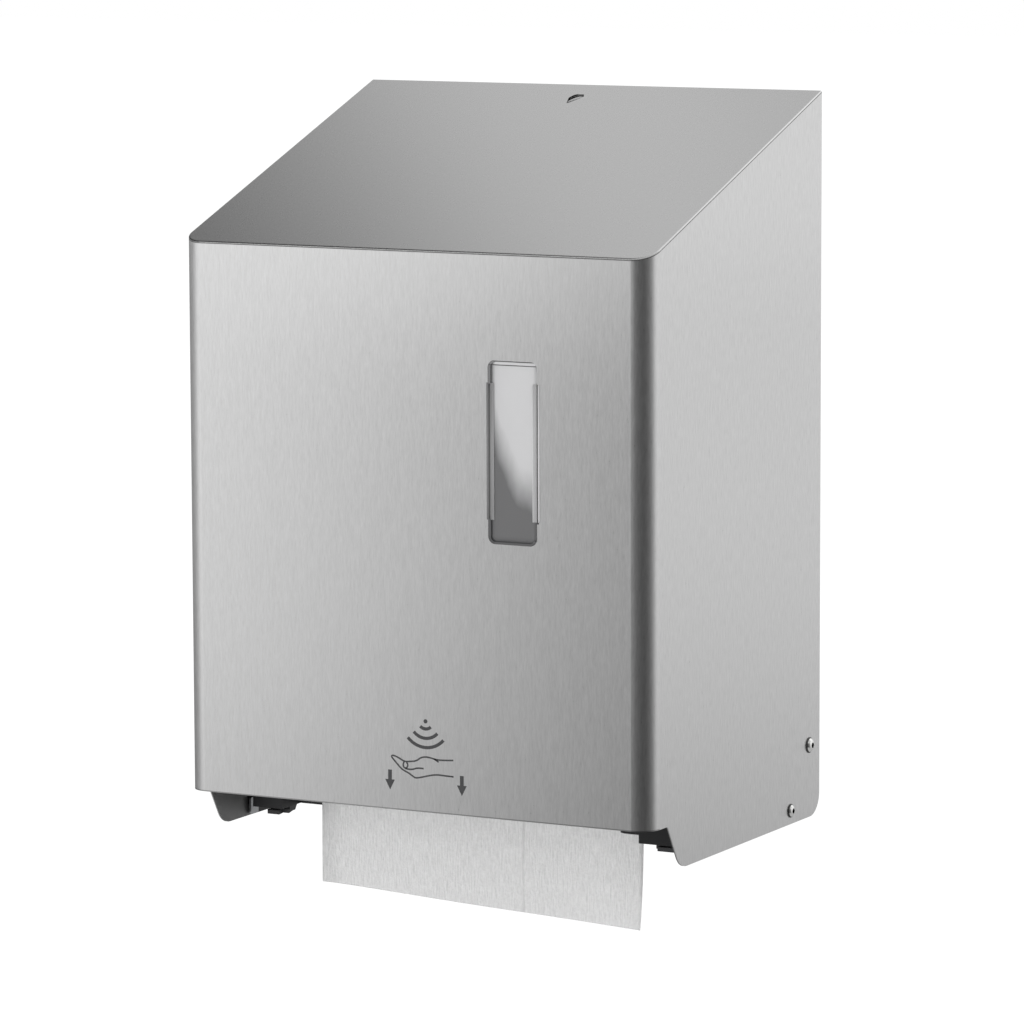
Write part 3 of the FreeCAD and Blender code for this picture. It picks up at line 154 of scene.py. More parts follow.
class Finish:
    """A material and the tools that build it."""

    def __init__(self, name, tree=None):
        if tree is None:
            self.material = bpy.data.materials.new(name)
            self.material.use_nodes = True
            tree = self.material.node_tree
        self.tree = tree
        self.tree.nodes.clear()

    def node(self, kind, settings, sockets, result=0):
        """Any node: its type, its settings, and the values or links of its sockets."""
        made = self.tree.nodes.new("ShaderNode" + kind)
        for name, value in settings.items():
            if name == "stops":
                self.fill_ramp(made.color_ramp, value)
            else:
                setattr(made, name, value)
        for name, value in sockets.items():
            target = made.inputs[name]
            if isinstance(value, Value):
                self.tree.links.new(value.socket, target)
            else:
                target.default_value = value
        return Value(self, made.outputs[result])

    @staticmethod
    def fill_ramp(ramp, stops):
        while len(ramp.elements) < len(stops):
            ramp.elements.new(1.0)
        for element, (place, level) in zip(ramp.elements, stops):
            element.position = place
            element.color = (level, level, level, 1.0)

    def place(self):
        return self.node("TexCoord", {}, {}, "Object")

    def axes(self):
        split = self.node("SeparateXYZ", {}, {0: self.place()}).socket.node
        return [Value(self, output) for output in split.outputs]

    def noise(self, cell, detail=2.0, rough=0.5, place=None):
        """Noise whose cells measure (x, y, z) metres, or the same each way."""
        scale = tuple(1 / size for size in (cell if isinstance(cell, tuple) else (cell,) * 3))
        spot = self.node("Mapping", {}, {"Vector": place or self.place(), "Scale": scale})
        return self.node(
            "TexNoise", {}, {"Vector": spot, "Scale": 1.0, "Detail": detail, "Roughness": rough})

    def mix(self, factor, first, second):
        first, second = ((*shade, 1.0) if isinstance(shade, tuple) else shade for shade in (first, second))
        return self.node("Mix", {"data_type": "RGBA"}, {0: factor, 6: first, 7: second}, 2)

    def tint(self, factor, tone, dark, light):
        """One tone between two shades of itself."""
        return self.mix(factor, shaded(tone, dark), shaded(tone, light))

    def bump(self, height, strength, distance):
        return self.node("Bump", {}, {"Height": height, "Strength": strength, "Distance": distance})

    def done(self, **sockets):
        """Close the material with a Principled shader, its sockets named with _ for each space."""
        self.close(self.node("BsdfPrincipled", {}, {
            name.replace("_", " "): value for name, value in sockets.items()}))
        return self.material

    def close(self, shader):
        output = self.tree.nodes.new("ShaderNodeOutputMaterial")
        self.tree.links.new(shader.socket, output.inputs["Surface"])


def shaded(tone, factor):
    return tuple(min(1.0, channel * factor) for channel in tone)


# Each plain finish: cells, detail and roughness of its noise, darkest and lightest shade,
# swing and base of its roughness, strength and depth of its relief
PLAIN = {
    "turned": ((0.0003, 0.002, 0.002), 2.0, 0.5, (0.92, 1.04), (0.14, 0.14), (0.05, 0.00005)),
    "painted": (0.0012, 2.0, 0.5, (0.85, 1.2), (0.12, 0.38), (0.12, 0.0002)),
    "rubber": (0.002, 4.0, 0.65, (0.8, 1.5), (0.2, 0.62), (0.2, 0.0002)),
    "lens": (0.004, 2.0, 0.5, (0.8, 1.2), (0.05, 0.06), None),
    "ink": ((0.0006, 0.0006, 0.0020), 3.0, 0.6, (0.85, 1.25), (0.15, 0.5), None),
}


def plain(kind, name, tone, **sockets):
    """A finish whose tint, roughness and relief follow one noise."""
    cell, detail, rough, shades, sheen, relief = PLAIN[kind]
    finish = Finish(name)
    marks = finish.noise(cell, detail, rough)
    if relief:
        sockets["Normal"] = finish.bump(marks, *relief)
    return finish.done(
        Base_Color=finish.tint(marks, tone, *shades), Roughness=marks * sheen[0] + sheen[1], **sockets)


def cover_steel(tone, run, gap):
    """The folded sheet: upright brush marks outside, rougher inside with painted shade, and painted shade
    along the lower edge of its front.
    """
    finish = Finish("cover_steel")
    x, y, z = finish.axes()
    front_bend, side_bend, hem_top = FRONT + BEND, SIDE - BEND, FOOT + 0.0272
    beside = (x.size() - side_bend).at_least(0.0)
    before = (front_bend - y).at_least(0.0)
    # Painted shade: the inner faces of the folds are darkened to about a third of the tone, as if in shade
    inner = (beside ** 2 + before ** 2) ** 0.5 < BEND - SHEET / 2
    # Painted shade: a darker band along the front's lower edge stands in for the shade at that edge
    hem_shade = (z < hem_top) * (y < front_bend)
    fine, coarse = finish.noise((gap, gap, run), 3.0, 0.6), finish.noise((3 * gap, 3 * gap, 2 * run))
    marks = fine * 0.55 + coarse * 0.45
    brushed = finish.tint(((marks - 0.5) * 2.2 + 0.5).clipped(), tone, 0.875, 1.125)
    edge_shaded = finish.mix(hem_shade, brushed, shaded(tone, 0.55))
    return finish.done(
        Base_Color=finish.mix(inner, edge_shaded, shaded(tone, 0.35)), Metallic=1.0, Anisotropic=0.6,
        Roughness=(marks - 0.5) * 0.14 + inner * 0.2 + 0.30, Normal=finish.bump(marks, 0.08, 0.00008))


def lid_steel(tone, run, gap):
    """The lid: the same sheet, its finer marks running down the slope, with painted shade in the cut of the
    slot and on its underside.
    """
    finish = Finish("lid_steel")
    x, y, z = finish.axes()
    low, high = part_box("cover_lid")
    height = z - y * (LID_RISE / (high[1] - low[1])) - high[2]
    # Painted shade: the underside and the cut faces beside the slot are darkened as if in shade
    underside_shade, cut = height < -0.0007, height < -0.00006
    marks = finish.noise((gap * 3, run, gap * 6))
    beside_slot = ((x - KEY_SLOT[0]).size() < 0.0062) * ((y - KEY_SLOT[1]).size() < 0.0085)
    edge_shaded = finish.mix(cut * beside_slot, finish.tint(marks, tone, 0.985, 1.015), shaded(tone, 0.07))
    return finish.done(
        Base_Color=finish.mix(underside_shade, edge_shaded, shaded(tone, 0.35)), Metallic=1.0,
        Roughness=(marks - 0.5) * 0.02 + underside_shade * 0.2 + 0.27, Normal=finish.bump(marks, 0.002, 0.00006))


def lip_steel(tone, start, inward):
    """The tongue pressed down beside the slot: painted shade in its fold, lighter where it flattens."""
    finish = Finish("lip_steel")
    x, y, z = finish.axes()
    marks = finish.noise((0.0006, 0.0030, 0.0016), 3.0, 0.55)
    across = (x - start.x) * inward.x + (y - start.y) * inward.y
    along = (x - start.x) * inward.y - (y - start.y) * inward.x
    fold_wide, fade = 0.0022, 0.0024
    flat = ((across - fold_wide + along * 0.22) / fade).clipped()
    # Painted shade: the fold of the tongue is darkened and its flat face is left light
    fold, face = finish.tint(marks, tone, 0.20, 0.26), finish.tint(marks, tone, 0.84, 0.94)
    return finish.done(
        Base_Color=finish.mix(flat, fold, face), Metallic=0.25, Roughness=marks * 0.08 + 0.50,
        Normal=finish.bump(marks, 0.03, 0.00006))


def plated_steel(name, tone):
    """Zinc-plated sheet with a faint cloudy spangle."""
    finish = Finish(name)
    spangle = finish.noise(0.006, 3.0, 0.55)
    fine = finish.noise(0.0006)
    return finish.done(
        Base_Color=finish.tint(spangle, tone, 0.86, 1.05), Metallic=1.0, Roughness=spangle * 0.2 + 0.28,
        Normal=finish.bump(fine, 0.08, 0.0001))


def blackened_steel(tone):
    """Black-dipped sheet whose front end is left bare."""
    finish = Finish("black_brackets")
    x, y, z = finish.axes()
    front_end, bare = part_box("hinge_bracket_left")[0][1], 0.0085
    cloud = finish.noise(0.004, 3.0, 0.55)
    tip = y < front_end + bare
    black = finish.mix(cloud, (0.010, 0.010, 0.011), (0.024, 0.024, 0.026))
    return finish.done(
        Base_Color=finish.mix(tip, black, finish.tint(cloud, tone, 0.80, 1.05)), Metallic=tip,
        Roughness=cloud * 0.15 + 0.36, Normal=finish.bump(cloud, 0.06, 0.0002))


def button_steel(name, tone, middle, seat, socket):
    """A button head: bright dome, with painted shade as a dark line on the flange where it sits and in its
    socket.
    """
    finish = Finish(name)
    x, y, z = finish.axes()
    marks = finish.noise((0.0003, 0.0012, 0.0012))
    radius = ((y - middle[0]) ** 2 + (z - middle[1]) ** 2) ** 0.5
    # Painted shade: the flange where the head sits and the socket are darkened as if in shade
    flange = x.size() < seat + 0.0009
    inside = (x.size() < seat + 0.0016) * (radius < socket * 0.99)
    bright = finish.tint(marks, tone, 1.10, 1.26)
    return finish.done(
        Base_Color=finish.mix((flange + inside).clipped(), bright, shaded(tone, 0.10)), Metallic=1.0,
        Roughness=marks * 0.05 + 0.07, Normal=finish.bump(marks, 0.01, 0.00005))


def moulded_plastic(name, tone, rough=0.45):
    """Moulded plastic with a fine spark-eroded grain."""
    finish = Finish(name)
    grain = finish.noise(0.0005, 3.0, 0.6)
    flow = finish.noise(0.03)
    return finish.done(
        Base_Color=finish.tint(flow * 0.6 + grain * 0.4, tone, 0.88, 1.12),
        Roughness=grain * 0.16 + (rough - 0.08), Normal=finish.bump(grain, 0.16, 0.00012))


def window_pane(tone, low, high):
    """Clear moulded pane: hazy and bevelled, with painted shade low down and along its left, right and
    lower edges, and painted light and thin painted shade lines along its top.
    """
    finish = Finish("pane_plastic")
    x, y, z = finish.axes()
    lower_shade, shadow, shade_line = (0.185, 0.185, 0.188), (0.085, 0.085, 0.087), (0.12, 0.12, 0.12)
    mist = finish.noise((0.010, 0.010, 0.025))
    across = (x - low[0]) / (high[0] - low[0])
    up = (z - low[2]) / (high[2] - low[2])
    # Painted shade: below a soft diagonal boundary the pane turns smoky grey, standing in for the shadow
    # inside the window
    edge = (1 - across).clipped() ** 2.08 * 0.46 + 0.27
    clear = ((up - edge + (mist - 0.5) * 0.12) / 0.27 + 0.5).clipped()
    # Painted shadow: dark bands along the left, right and lower edges of the pane
    left = (1.7 - (x - low[0]) / 0.0020).clipped()
    right = (1 - (high[0] - x) / 0.0016).clipped()
    foot = (1.3 - (z - low[2]) / 0.0030).clipped()
    below_top = high[2] - z
    # Painted light: a lighter, more opaque band along the top bevel
    rim = below_top < 0.0023
    # Painted shade: thin dark lines at the edges of the top bevel and along the top edge
    line = ((below_top < 0.0027) * (below_top > 0.0021) + (below_top < 0.0006)).clipped()
    body = finish.mix(clear, lower_shade, finish.tint(mist, tone, 0.94, 1.0))
    rim_lit = finish.mix(rim, body, shaded(tone, 0.90))
    edge_shadowed = finish.mix((left * 0.80 + right * 0.30 + foot * 0.75).clipped(), rim_lit, shadow)
    # The pane is also made more opaque where shade or light is painted on it
    cover = 0.82 - clear * 0.16 + left * 0.18 + foot * 0.15 + rim * 0.2
    return finish.done(
        Base_Color=finish.mix(line, edge_shadowed, shade_line), Roughness=mist * 0.06 + 0.06, IOR=1.46,
        Alpha=cover.clipped(), Normal=finish.bump(mist, 0.03, 0.0004))


def window_rail(tone, middle, half):
    """Moulded frame: painted shade on the side away from the light and in the groove, and painted light on
    the lip and bead of the side that meets the light.
    """
    finish = Finish("rail_plastic")
    x, y, z = finish.axes()
    grain = finish.noise((0.0005, 0.0005, 0.0008), 3.0, 0.6)
    aside = (x - middle).size() - half
    # Painted light and shade: the side towards the light is painted lighter and the other side darker
    lit = x > middle
    inward = (aside / -0.0026).clipped()
    face_shade = finish.mix(lit, finish.tint(inward, tone, 0.40, 0.72), shaded(tone, 0.98))
    face = finish.mix(grain, face_shade, finish.tint(lit, tone, 0.66, 1.10))
    # Painted highlight on the bead of the lit side
    bead = finish.mix(aside < -0.0021, face, finish.tint(lit, tone, 0.80, 1.45))
    # Painted shade in the groove beside the cut-out
    gap = finish.mix(lit, (0.16, 0.16, 0.16), (0.02, 0.02, 0.02))
    groove = finish.mix((aside > 0.00005) * (aside < 0.0008), bead, gap)
    return finish.done(
        Base_Color=finish.mix(aside > 0.0008, groove, finish.tint(lit, tone, 0.46, 1.35)),
        Roughness=grain * 0.15 + 0.35, Normal=finish.bump(grain, 0.10, 0.0001))


def wound_paper(tone):
    """The roll: crepe on its outside, and its layers as rings on both ends."""
    finish = Finish("wound_paper")
    x, y, z = finish.axes()
    low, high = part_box("paper_roll")
    middle = [(a + b) / 2 for a, b in zip(low, high)]
    radius = ((y - middle[1]) ** 2 + (z - middle[2]) ** 2) ** 0.5
    end = x.size() > high[0] - 0.0012
    layers = (radius * 9000.0).sine() * 0.5 + 0.5
    crepe = finish.noise((0.0004, 0.0012, 0.0012), 3.0, 0.6)
    marks = layers * end + crepe * (1 - end)
    tint = finish.tint(marks, tone, 0.90, 1.0)
    return finish.done(Base_Color=tint, Roughness=0.9, Normal=finish.bump(marks, 0.35, 0.0003))


def card(tone):
    """Spirally wound cardboard."""
    finish = Finish("core_card")
    x, y, z = finish.axes()
    fibre = finish.noise((0.004, 0.0008, 0.0008), 3.0, 0.6)
    spiral = (x * 22.0 + z * 14.0).wrapped() < 0.02
    tint = finish.tint(fibre * (1 - spiral * 0.6), tone, 0.78, 1.12)
    return finish.done(Base_Color=tint, Roughness=0.85, Normal=finish.bump(fibre, 0.2, 0.0003))


def battery_jacket():
    """Dark jackets with a copper-coloured end and bare steel caps."""
    finish = Finish("cell_jacket")
    x, y, z = finish.axes()
    along, end = x.size(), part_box("battery_cells")[1][0]
    wear = finish.noise(0.004, 3.0, 0.6)
    band = along > end - 0.0165
    cap = (along > end - 0.0022) + (along < 0.0012)
    dark = finish.mix(wear, (0.015, 0.016, 0.02), (0.035, 0.037, 0.045))
    copper = finish.mix(wear, (0.42, 0.20, 0.09), (0.55, 0.28, 0.13))
    tint = finish.mix(cap.clipped(), finish.mix(band, dark, copper), (0.70, 0.70, 0.69))
    return finish.done(Base_Color=tint, Metallic=(band + cap).clipped() * 0.9, Roughness=wear * 0.15 + 0.25)


def circuit_board():
    """Green mask with copper runs, and dark parts where it stands high."""
    finish = Finish("circuit_board")
    x, y, z = finish.axes()
    low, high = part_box("control_board")
    board_face, connector_face = high[1] - 0.0019, low[1] + 0.0045
    spot = finish.node("Mapping", {}, {"Vector": finish.place(), "Scale": (420.0, 1.0, 420.0)})
    runs = finish.node("TexBrick", {"offset": 0.37, "squash": 0.6, "squash_frequency": 3}, {
        "Vector": finish.node("Mapping", {}, {"Vector": spot, "Rotation": (math.radians(90), 0, 0)}),
        "Color1": (0.0, 0.0, 0.0, 1.0), "Color2": (0.0, 0.0, 0.0, 1.0), "Mortar": (1.0, 1.0, 1.0, 1.0),
        "Scale": 0.5, "Mortar Size": 0.08})
    grime = finish.noise(0.003, 3.0, 0.6)
    mask = finish.mix(grime, (0.010, 0.060, 0.028), (0.018, 0.090, 0.042))
    copper = finish.mix(runs, mask, (0.03, 0.15, 0.07))
    parts = finish.mix(grime, (0.012, 0.012, 0.014), (0.03, 0.03, 0.034))
    tall = finish.mix(y < connector_face, parts, (0.55, 0.55, 0.56))
    return finish.done(
        Base_Color=finish.mix(y < board_face, copper, tall), Roughness=grime * 0.2 + 0.3,
        Normal=finish.bump(runs, 0.2, 0.0001))


def crepe_paper(tone, fold):
    """Soft towel with fine upright creases and one faint fold, along the sheet's own map, with painted
    shadow near its left edge and painted shade along the fold.
    """
    finish = Finish("crepe_paper")
    sheet = finish.node("UVMap", {}, {})
    fine = finish.noise((0.0009, 0.0080, 1.0), 2.0, 0.5, sheet)
    broad = finish.noise((0.0014, 0.0020, 1.0), 3.0, 0.6, sheet)
    marks = fine * 0.62 + broad * 0.38
    across = finish.node("SeparateXYZ", {}, {0: sheet})
    # Painted shadow: the towel is darker within about 12 mm of its left edge
    edge = ((-0.0905 - across) / 0.0120).clipped()
    # The fold is a dent in the relief, with painted shade along it in the colour
    crease = (1 - ((across - fold + (broad - 0.5) * 0.0010) / 0.0012).size()).clipped()
    relief = ((marks - 0.5) * 2.6 + 0.5).clipped()
    towel = finish.mix(edge, finish.tint(relief, tone, 0.84, 1.07), finish.tint(relief, tone, 0.74, 0.93))
    return finish.done(
        Base_Color=finish.mix(crease * 0.35, towel, shaded(tone, 0.82)), Roughness=0.92,
        Normal=finish.bump(marks - crease * 0.4, 0.9, 0.0010))


def only(*pieces):
    """Select these pieces alone and make the first one active."""
    bpy.ops.object.select_all(action="DESELECT")
    for piece in pieces:
        piece.select_set(True)
    if pieces:
        bpy.context.view_layer.objects.active = pieces[0]


def apply_place():
    bpy.ops.object.transform_apply(location=True, rotation=True, scale=True)


def face_outward():
    """Turn all faces of the active piece outward and leave edit mode."""
    bpy.ops.object.mode_set(mode="EDIT")
    bpy.ops.mesh.select_all(action="SELECT")
    bpy.ops.mesh.normals_make_consistent(inside=False)
    bpy.ops.object.mode_set(mode="OBJECT")


def pick(piece, kind, test):
    """Select a piece's faces or edges by their place, and stay in edit mode."""
    bpy.ops.object.mode_set(mode="EDIT")
    bpy.ops.mesh.select_mode(type=kind)
    bpy.ops.mesh.select_all(action="DESELECT")
    bpy.ops.object.mode_set(mode="OBJECT")
    if kind == "FACE":
        for face in piece.data.polygons:
            face.select = test(face.center, face.normal)
    else:
        spots = [vertex.co for vertex in piece.data.vertices]
        for edge in piece.data.edges:
            edge.select = test(spots[edge.vertices[0]], spots[edge.vertices[1]])
    bpy.ops.object.mode_set(mode="EDIT")


def from_front_to_rear(a, b):
    return abs(a.x - b.x) < TINY and abs(a.z - b.z) < TINY


def named(name):
    """Name the piece that was made last."""
    piece = bpy.context.object
    piece.name = piece.data.name = name
    return piece


def arc(x, z, radius, start, end, steps=8):
    """Corners along an arc, from one angle in degrees to another."""
    angles = [math.radians(start + (end - start) * step / steps) for step in range(steps + 1)]
    return [(x + radius * math.cos(angle), z + radius * math.sin(angle)) for angle in angles]


def grid(name, columns, rows):
    """A flat grid, 1 m wide and deep, to bend into shape."""
    only()
    bpy.ops.mesh.primitive_grid_add(x_subdivisions=columns, y_subdivisions=rows, size=1.0, calc_uvs=True)
    return named(name)


def thicken(piece, thickness, offset):
    wall = piece.modifiers.new("thickness", "SOLIDIFY")
    wall.thickness = thickness
    wall.offset = offset
    bpy.ops.object.modifier_apply(modifier=wall.name)
    bpy.ops.object.shade_smooth()


def block(name, middle, size):
    """A block to shape further."""
    only()
    bpy.ops.mesh.primitive_cube_add(size=1.0, location=middle, scale=size)
    apply_place()
    return named(name)


def drawn_piece(name, outline, deep, middle, upright=True):
    """A piece cut from its outline, deep all along its own Z, stood up and set in its place."""
    drawing = bpy.data.curves.new(name, "CURVE")
    drawing.dimensions = "2D"
    drawing.fill_mode = "BOTH"
    drawing.extrude = deep / 2
    line = drawing.splines.new("POLY")
    line.points.add(len(outline) - 1)
    for point, (across, up) in zip(line.points, outline):
        point.co = (across, up, 0.0, 1.0)
    line.use_cyclic_u = True
    piece = bpy.data.objects.new(name, drawing)
    bpy.context.collection.objects.link(piece)
    only(piece)
    piece.location = middle
    piece.rotation_euler.x = math.pi / 2 if upright else 0.0
    bpy.ops.object.convert(target="MESH")
    apply_place()
    bpy.ops.object.mode_set(mode="EDIT")
    bpy.ops.mesh.select_all(action="SELECT")
    bpy.ops.mesh.remove_doubles(threshold=TINY)
    face_outward()
    return bpy.context.object


def joined(name, *pieces):
    only(*pieces)
    bpy.ops.object.join()
    return named(name)


def fixed_to_cover(piece, material, slot, *replaced):
    """Give a new piece its finish and the cover as its body, and hide the nodes that it stands for."""
    piece.data.materials.append(material)
    if replaced:
        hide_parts(*replaced)
    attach(piece, "cover")


def dress(material, *names):
    """Give CAD nodes a finish."""
    for name in names:
        for place in NODES[name].material_slots:
            place.material = material


class Steps(Operator):
    """One step of the making."""

    bl_options = {"REGISTER", "UNDO"}

    @classmethod
    def settings(cls, group):
        return getattr(bpy.context.scene, "dispenser_" + group)


class DISPENSER_OT_cover(Steps):
    """Finish the folded cover, its lid and what is fixed to them"""

    bl_idname = "dispenser.cover"
    bl_label = "Cover"

    def execute(self, context):
        steel, plastic = self.settings("steel"), self.settings("plastic")
        tone = tuple(steel.cover)
        dress(cover_steel(tone, steel.grain_run, steel.grain_gap), "cover_wrap")
        dress(lid_steel(tone, steel.grain_run, steel.grain_gap), "cover_lid")
        dress(moulded_plastic("washer_plastic", plastic.white), "pivot_washers")
        dress(plated_steel("keeper_zinc", steel.zinc), "lock_keeper")
        self.slot_lip(tone)
        return {"FINISHED"}

    def slot_lip(self, tone):
        """The tongue of the lid, pressed down from the straight edge of the key slot."""
        low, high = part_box("cover_lid")
        slope = LID_RISE / (high[1] - low[1])
        start, end = Vector((-0.0034, -0.0276)), Vector((0.0029, -0.0172))
        deepest, reach = 0.0012, 0.0061
        run = (end - start).normalized()
        inward = Vector((-run.y, run.x))
        rim = (
            (0.0, 0.0004), (0.0020, 0.0025), (0.0045, 0.0049), (0.0068, 0.0059),
            (0.0091, 0.0063), (0.0109, 0.0059), (0.0122, 0.0038), (0.0122, 0.0006),
        )
        steps = len(rim) - 1
        lip = grid("slot_lip", 3 * steps, 8)
        for vertex in lip.data.vertices:
            along, across = vertex.co.x + 0.5, vertex.co.y + 0.5
            step = min(int(along * steps), steps - 1)
            far = Vector(rim[step]).lerp(Vector(rim[step + 1]), along * steps - step)
            near = Vector((along * (end - start).length, 0.0))
            spot = near.lerp(far, across)
            place = start + run * spot.x + inward * spot.y
            sunk = 0.00005 + deepest * (spot.y / reach) ** 1.3
            vertex.co = (place.x, place.y, high[2] + slope * place.y - sunk)
        thicken(lip, SHEET / 2, -1)
        fixed_to_cover(lip, lip_steel(tone, start, inward), "stainless")


class DISPENSER_OT_window(Steps):
    """Mould the level window and the frame that holds it"""

    bl_idname = "dispenser.window"
    bl_label = "Level window"

    margin, corner, bevel = 0.004, 0.0032, 0.0019
    pane_y, lip_y, ring_y = FRONT + 0.0010, FRONT - 0.00012, FRONT + 0.0041
    ring_wide, ring_thick, ring_rim = 0.0380, 0.0018, 0.0052

    def execute(self, context):
        plastic = self.settings("plastic")
        low, high = (Vector(end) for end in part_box("window_lens"))
        low.z += self.margin
        high.z -= self.margin
        self.pane(low, high, tuple(plastic.window))
        self.rails(low, high, tuple(plastic.rail))
        return {"FINISHED"}

    def pane(self, low, high, tone):
        """The pane fills the cut-out, bevelled in front, with a flange above and below behind it."""
        wide, tall = high.x - low.x, high.z - low.z
        middle = Vector(((low.x + high.x) / 2, self.pane_y, (low.z + high.z) / 2))
        pane = block("level_pane", middle, (wide, 0.0004, tall))
        pick(pane, "EDGE", from_front_to_rear)
        bpy.ops.mesh.bevel(offset=self.corner, segments=6, affect="EDGES")
        pick(pane, "FACE", lambda centre, normal: normal.y > 0.9)
        bpy.ops.mesh.extrude_region_move(TRANSFORM_OT_translate={"value": (0, 0, 0)})
        bpy.ops.transform.resize(value=(1, 1, 1 + 2 * self.margin / tall), center_override=middle)
        bpy.ops.mesh.extrude_region_move(TRANSFORM_OT_translate={"value": (0, 0.0020, 0)})
        pick(pane, "FACE", lambda centre, normal: normal.y < -0.9 and centre.y < middle.y)
        bpy.ops.mesh.inset(thickness=self.bevel)
        bpy.ops.transform.translate(value=(0, -0.0005, 0))
        bpy.ops.object.mode_set(mode="OBJECT")
        lips = [drawn_piece("pane_lip_%d" % number, outline, 0.00014, (0, self.lip_y, 0))
                for number, outline in enumerate(self.lips(low, high))]
        pane = joined("level_pane", pane, *lips)
        fixed_to_cover(pane, window_pane(tone, low, high), "clear_window", "window_lens")

    @staticmethod
    def lips(low, high):
        """Outlines of the thin lip that the pane lays over the left and lower edges of the cut-out."""
        left, foot, inside = low.x - 0.0012, low.z - 0.0008, 0.0006
        lower = [(left, low.z + 0.0135), *arc(left + 0.0044, foot + 0.0044, 0.0044, 180, 270)]
        lower += arc(high.x - 0.0042, foot + 0.0042, 0.0042, 270, 340)
        lower += arc(high.x - 0.0042, foot + 0.0042, 0.0028, 340, 270)
        lower += arc(low.x + 0.0036, low.z + 0.0036, 0.0030, 270, 180)
        lower.append((low.x + inside, low.z + 0.0135))
        upper = [(left, high.z - 0.0130), (low.x + inside, high.z - 0.0130)]
        upper.append((low.x + inside, high.z - 0.0036))
        upper += arc(low.x + 0.0036, high.z - 0.0036, 0.0030, 180, 100)
        upper += arc(left + 0.0044, high.z - 0.0042, 0.0044, 100, 180)
        return lower, upper

    def rails(self, low, high, tone):
        """A ring behind the pane and two grooved rails beside it."""
        half = (high.x - low.x) / 2
        middle = Vector(((low.x + high.x) / 2, self.ring_y, (low.z + high.z) / 2))
        ring_tall = high.z - low.z + 0.0175
        ring = block("frame_ring", middle, (self.ring_wide, self.ring_thick, ring_tall))
        pick(ring, "EDGE", from_front_to_rear)
        bpy.ops.mesh.bevel(offset=0.004, segments=5, affect="EDGES")
        pick(ring, "FACE", lambda centre, normal: abs(normal.y) > 0.9)
        bpy.ops.mesh.inset(thickness=self.ring_rim)
        bpy.ops.mesh.delete(type="FACE")
        across, up = (size / 2 - self.ring_rim + 0.0001 for size in (self.ring_wide, ring_tall))
        pick(ring, "EDGE", lambda a, b: abs(a.y - b.y) < TINY and all(
            abs(p.x - middle.x) < across and abs(p.z - middle.z) < up for p in (a, b)))
        bpy.ops.mesh.bridge_edge_loops()
        face_outward()
        # Both halves of a rail: how far out from the pane's side, and how far behind the cover's front
        outer = [
            (0.0012, 0.0032), (0.0008, 0.0), (0.0009, -0.0002), (0.0020, -0.00025), (0.0021, -0.00003),
            (0.0010, -0.00002), (0.0010, 0.0011), (0.0034, 0.0011), (0.0034, 0.0032),
        ]
        inner = [
            (-0.0026, 0.00025), (-0.0026, 0.0), (-0.0023, -0.00025), (-0.0002, -0.00015), (0.0, 0.0006),
            (0.0006, 0.0006), (0.0008, 0.0), (0.0012, 0.0032), (0.0002, 0.0032), (0.0002, 0.00075),
            (-0.0004, 0.00025),
        ]
        low_end, high_end = low.z + 0.0129, high.z - 0.0125
        bar_middle = (0, 0, (low_end + high_end) / 2)
        bars = [ring]
        for side in (-1, 1):
            for number, outline in enumerate((outer, inner)):
                line = [(middle.x + side * (half + out), FRONT + behind) for out, behind in outline]
                name = "rail_%d_%d" % (side, number)
                bars.append(drawn_piece(name, line, high_end - low_end, bar_middle, upright=False))
        rails = joined("level_frame", *bars)
        material = window_rail(tone, middle.x, half)
        fixed_to_cover(rails, material, "rail_plastic", "window_frame")


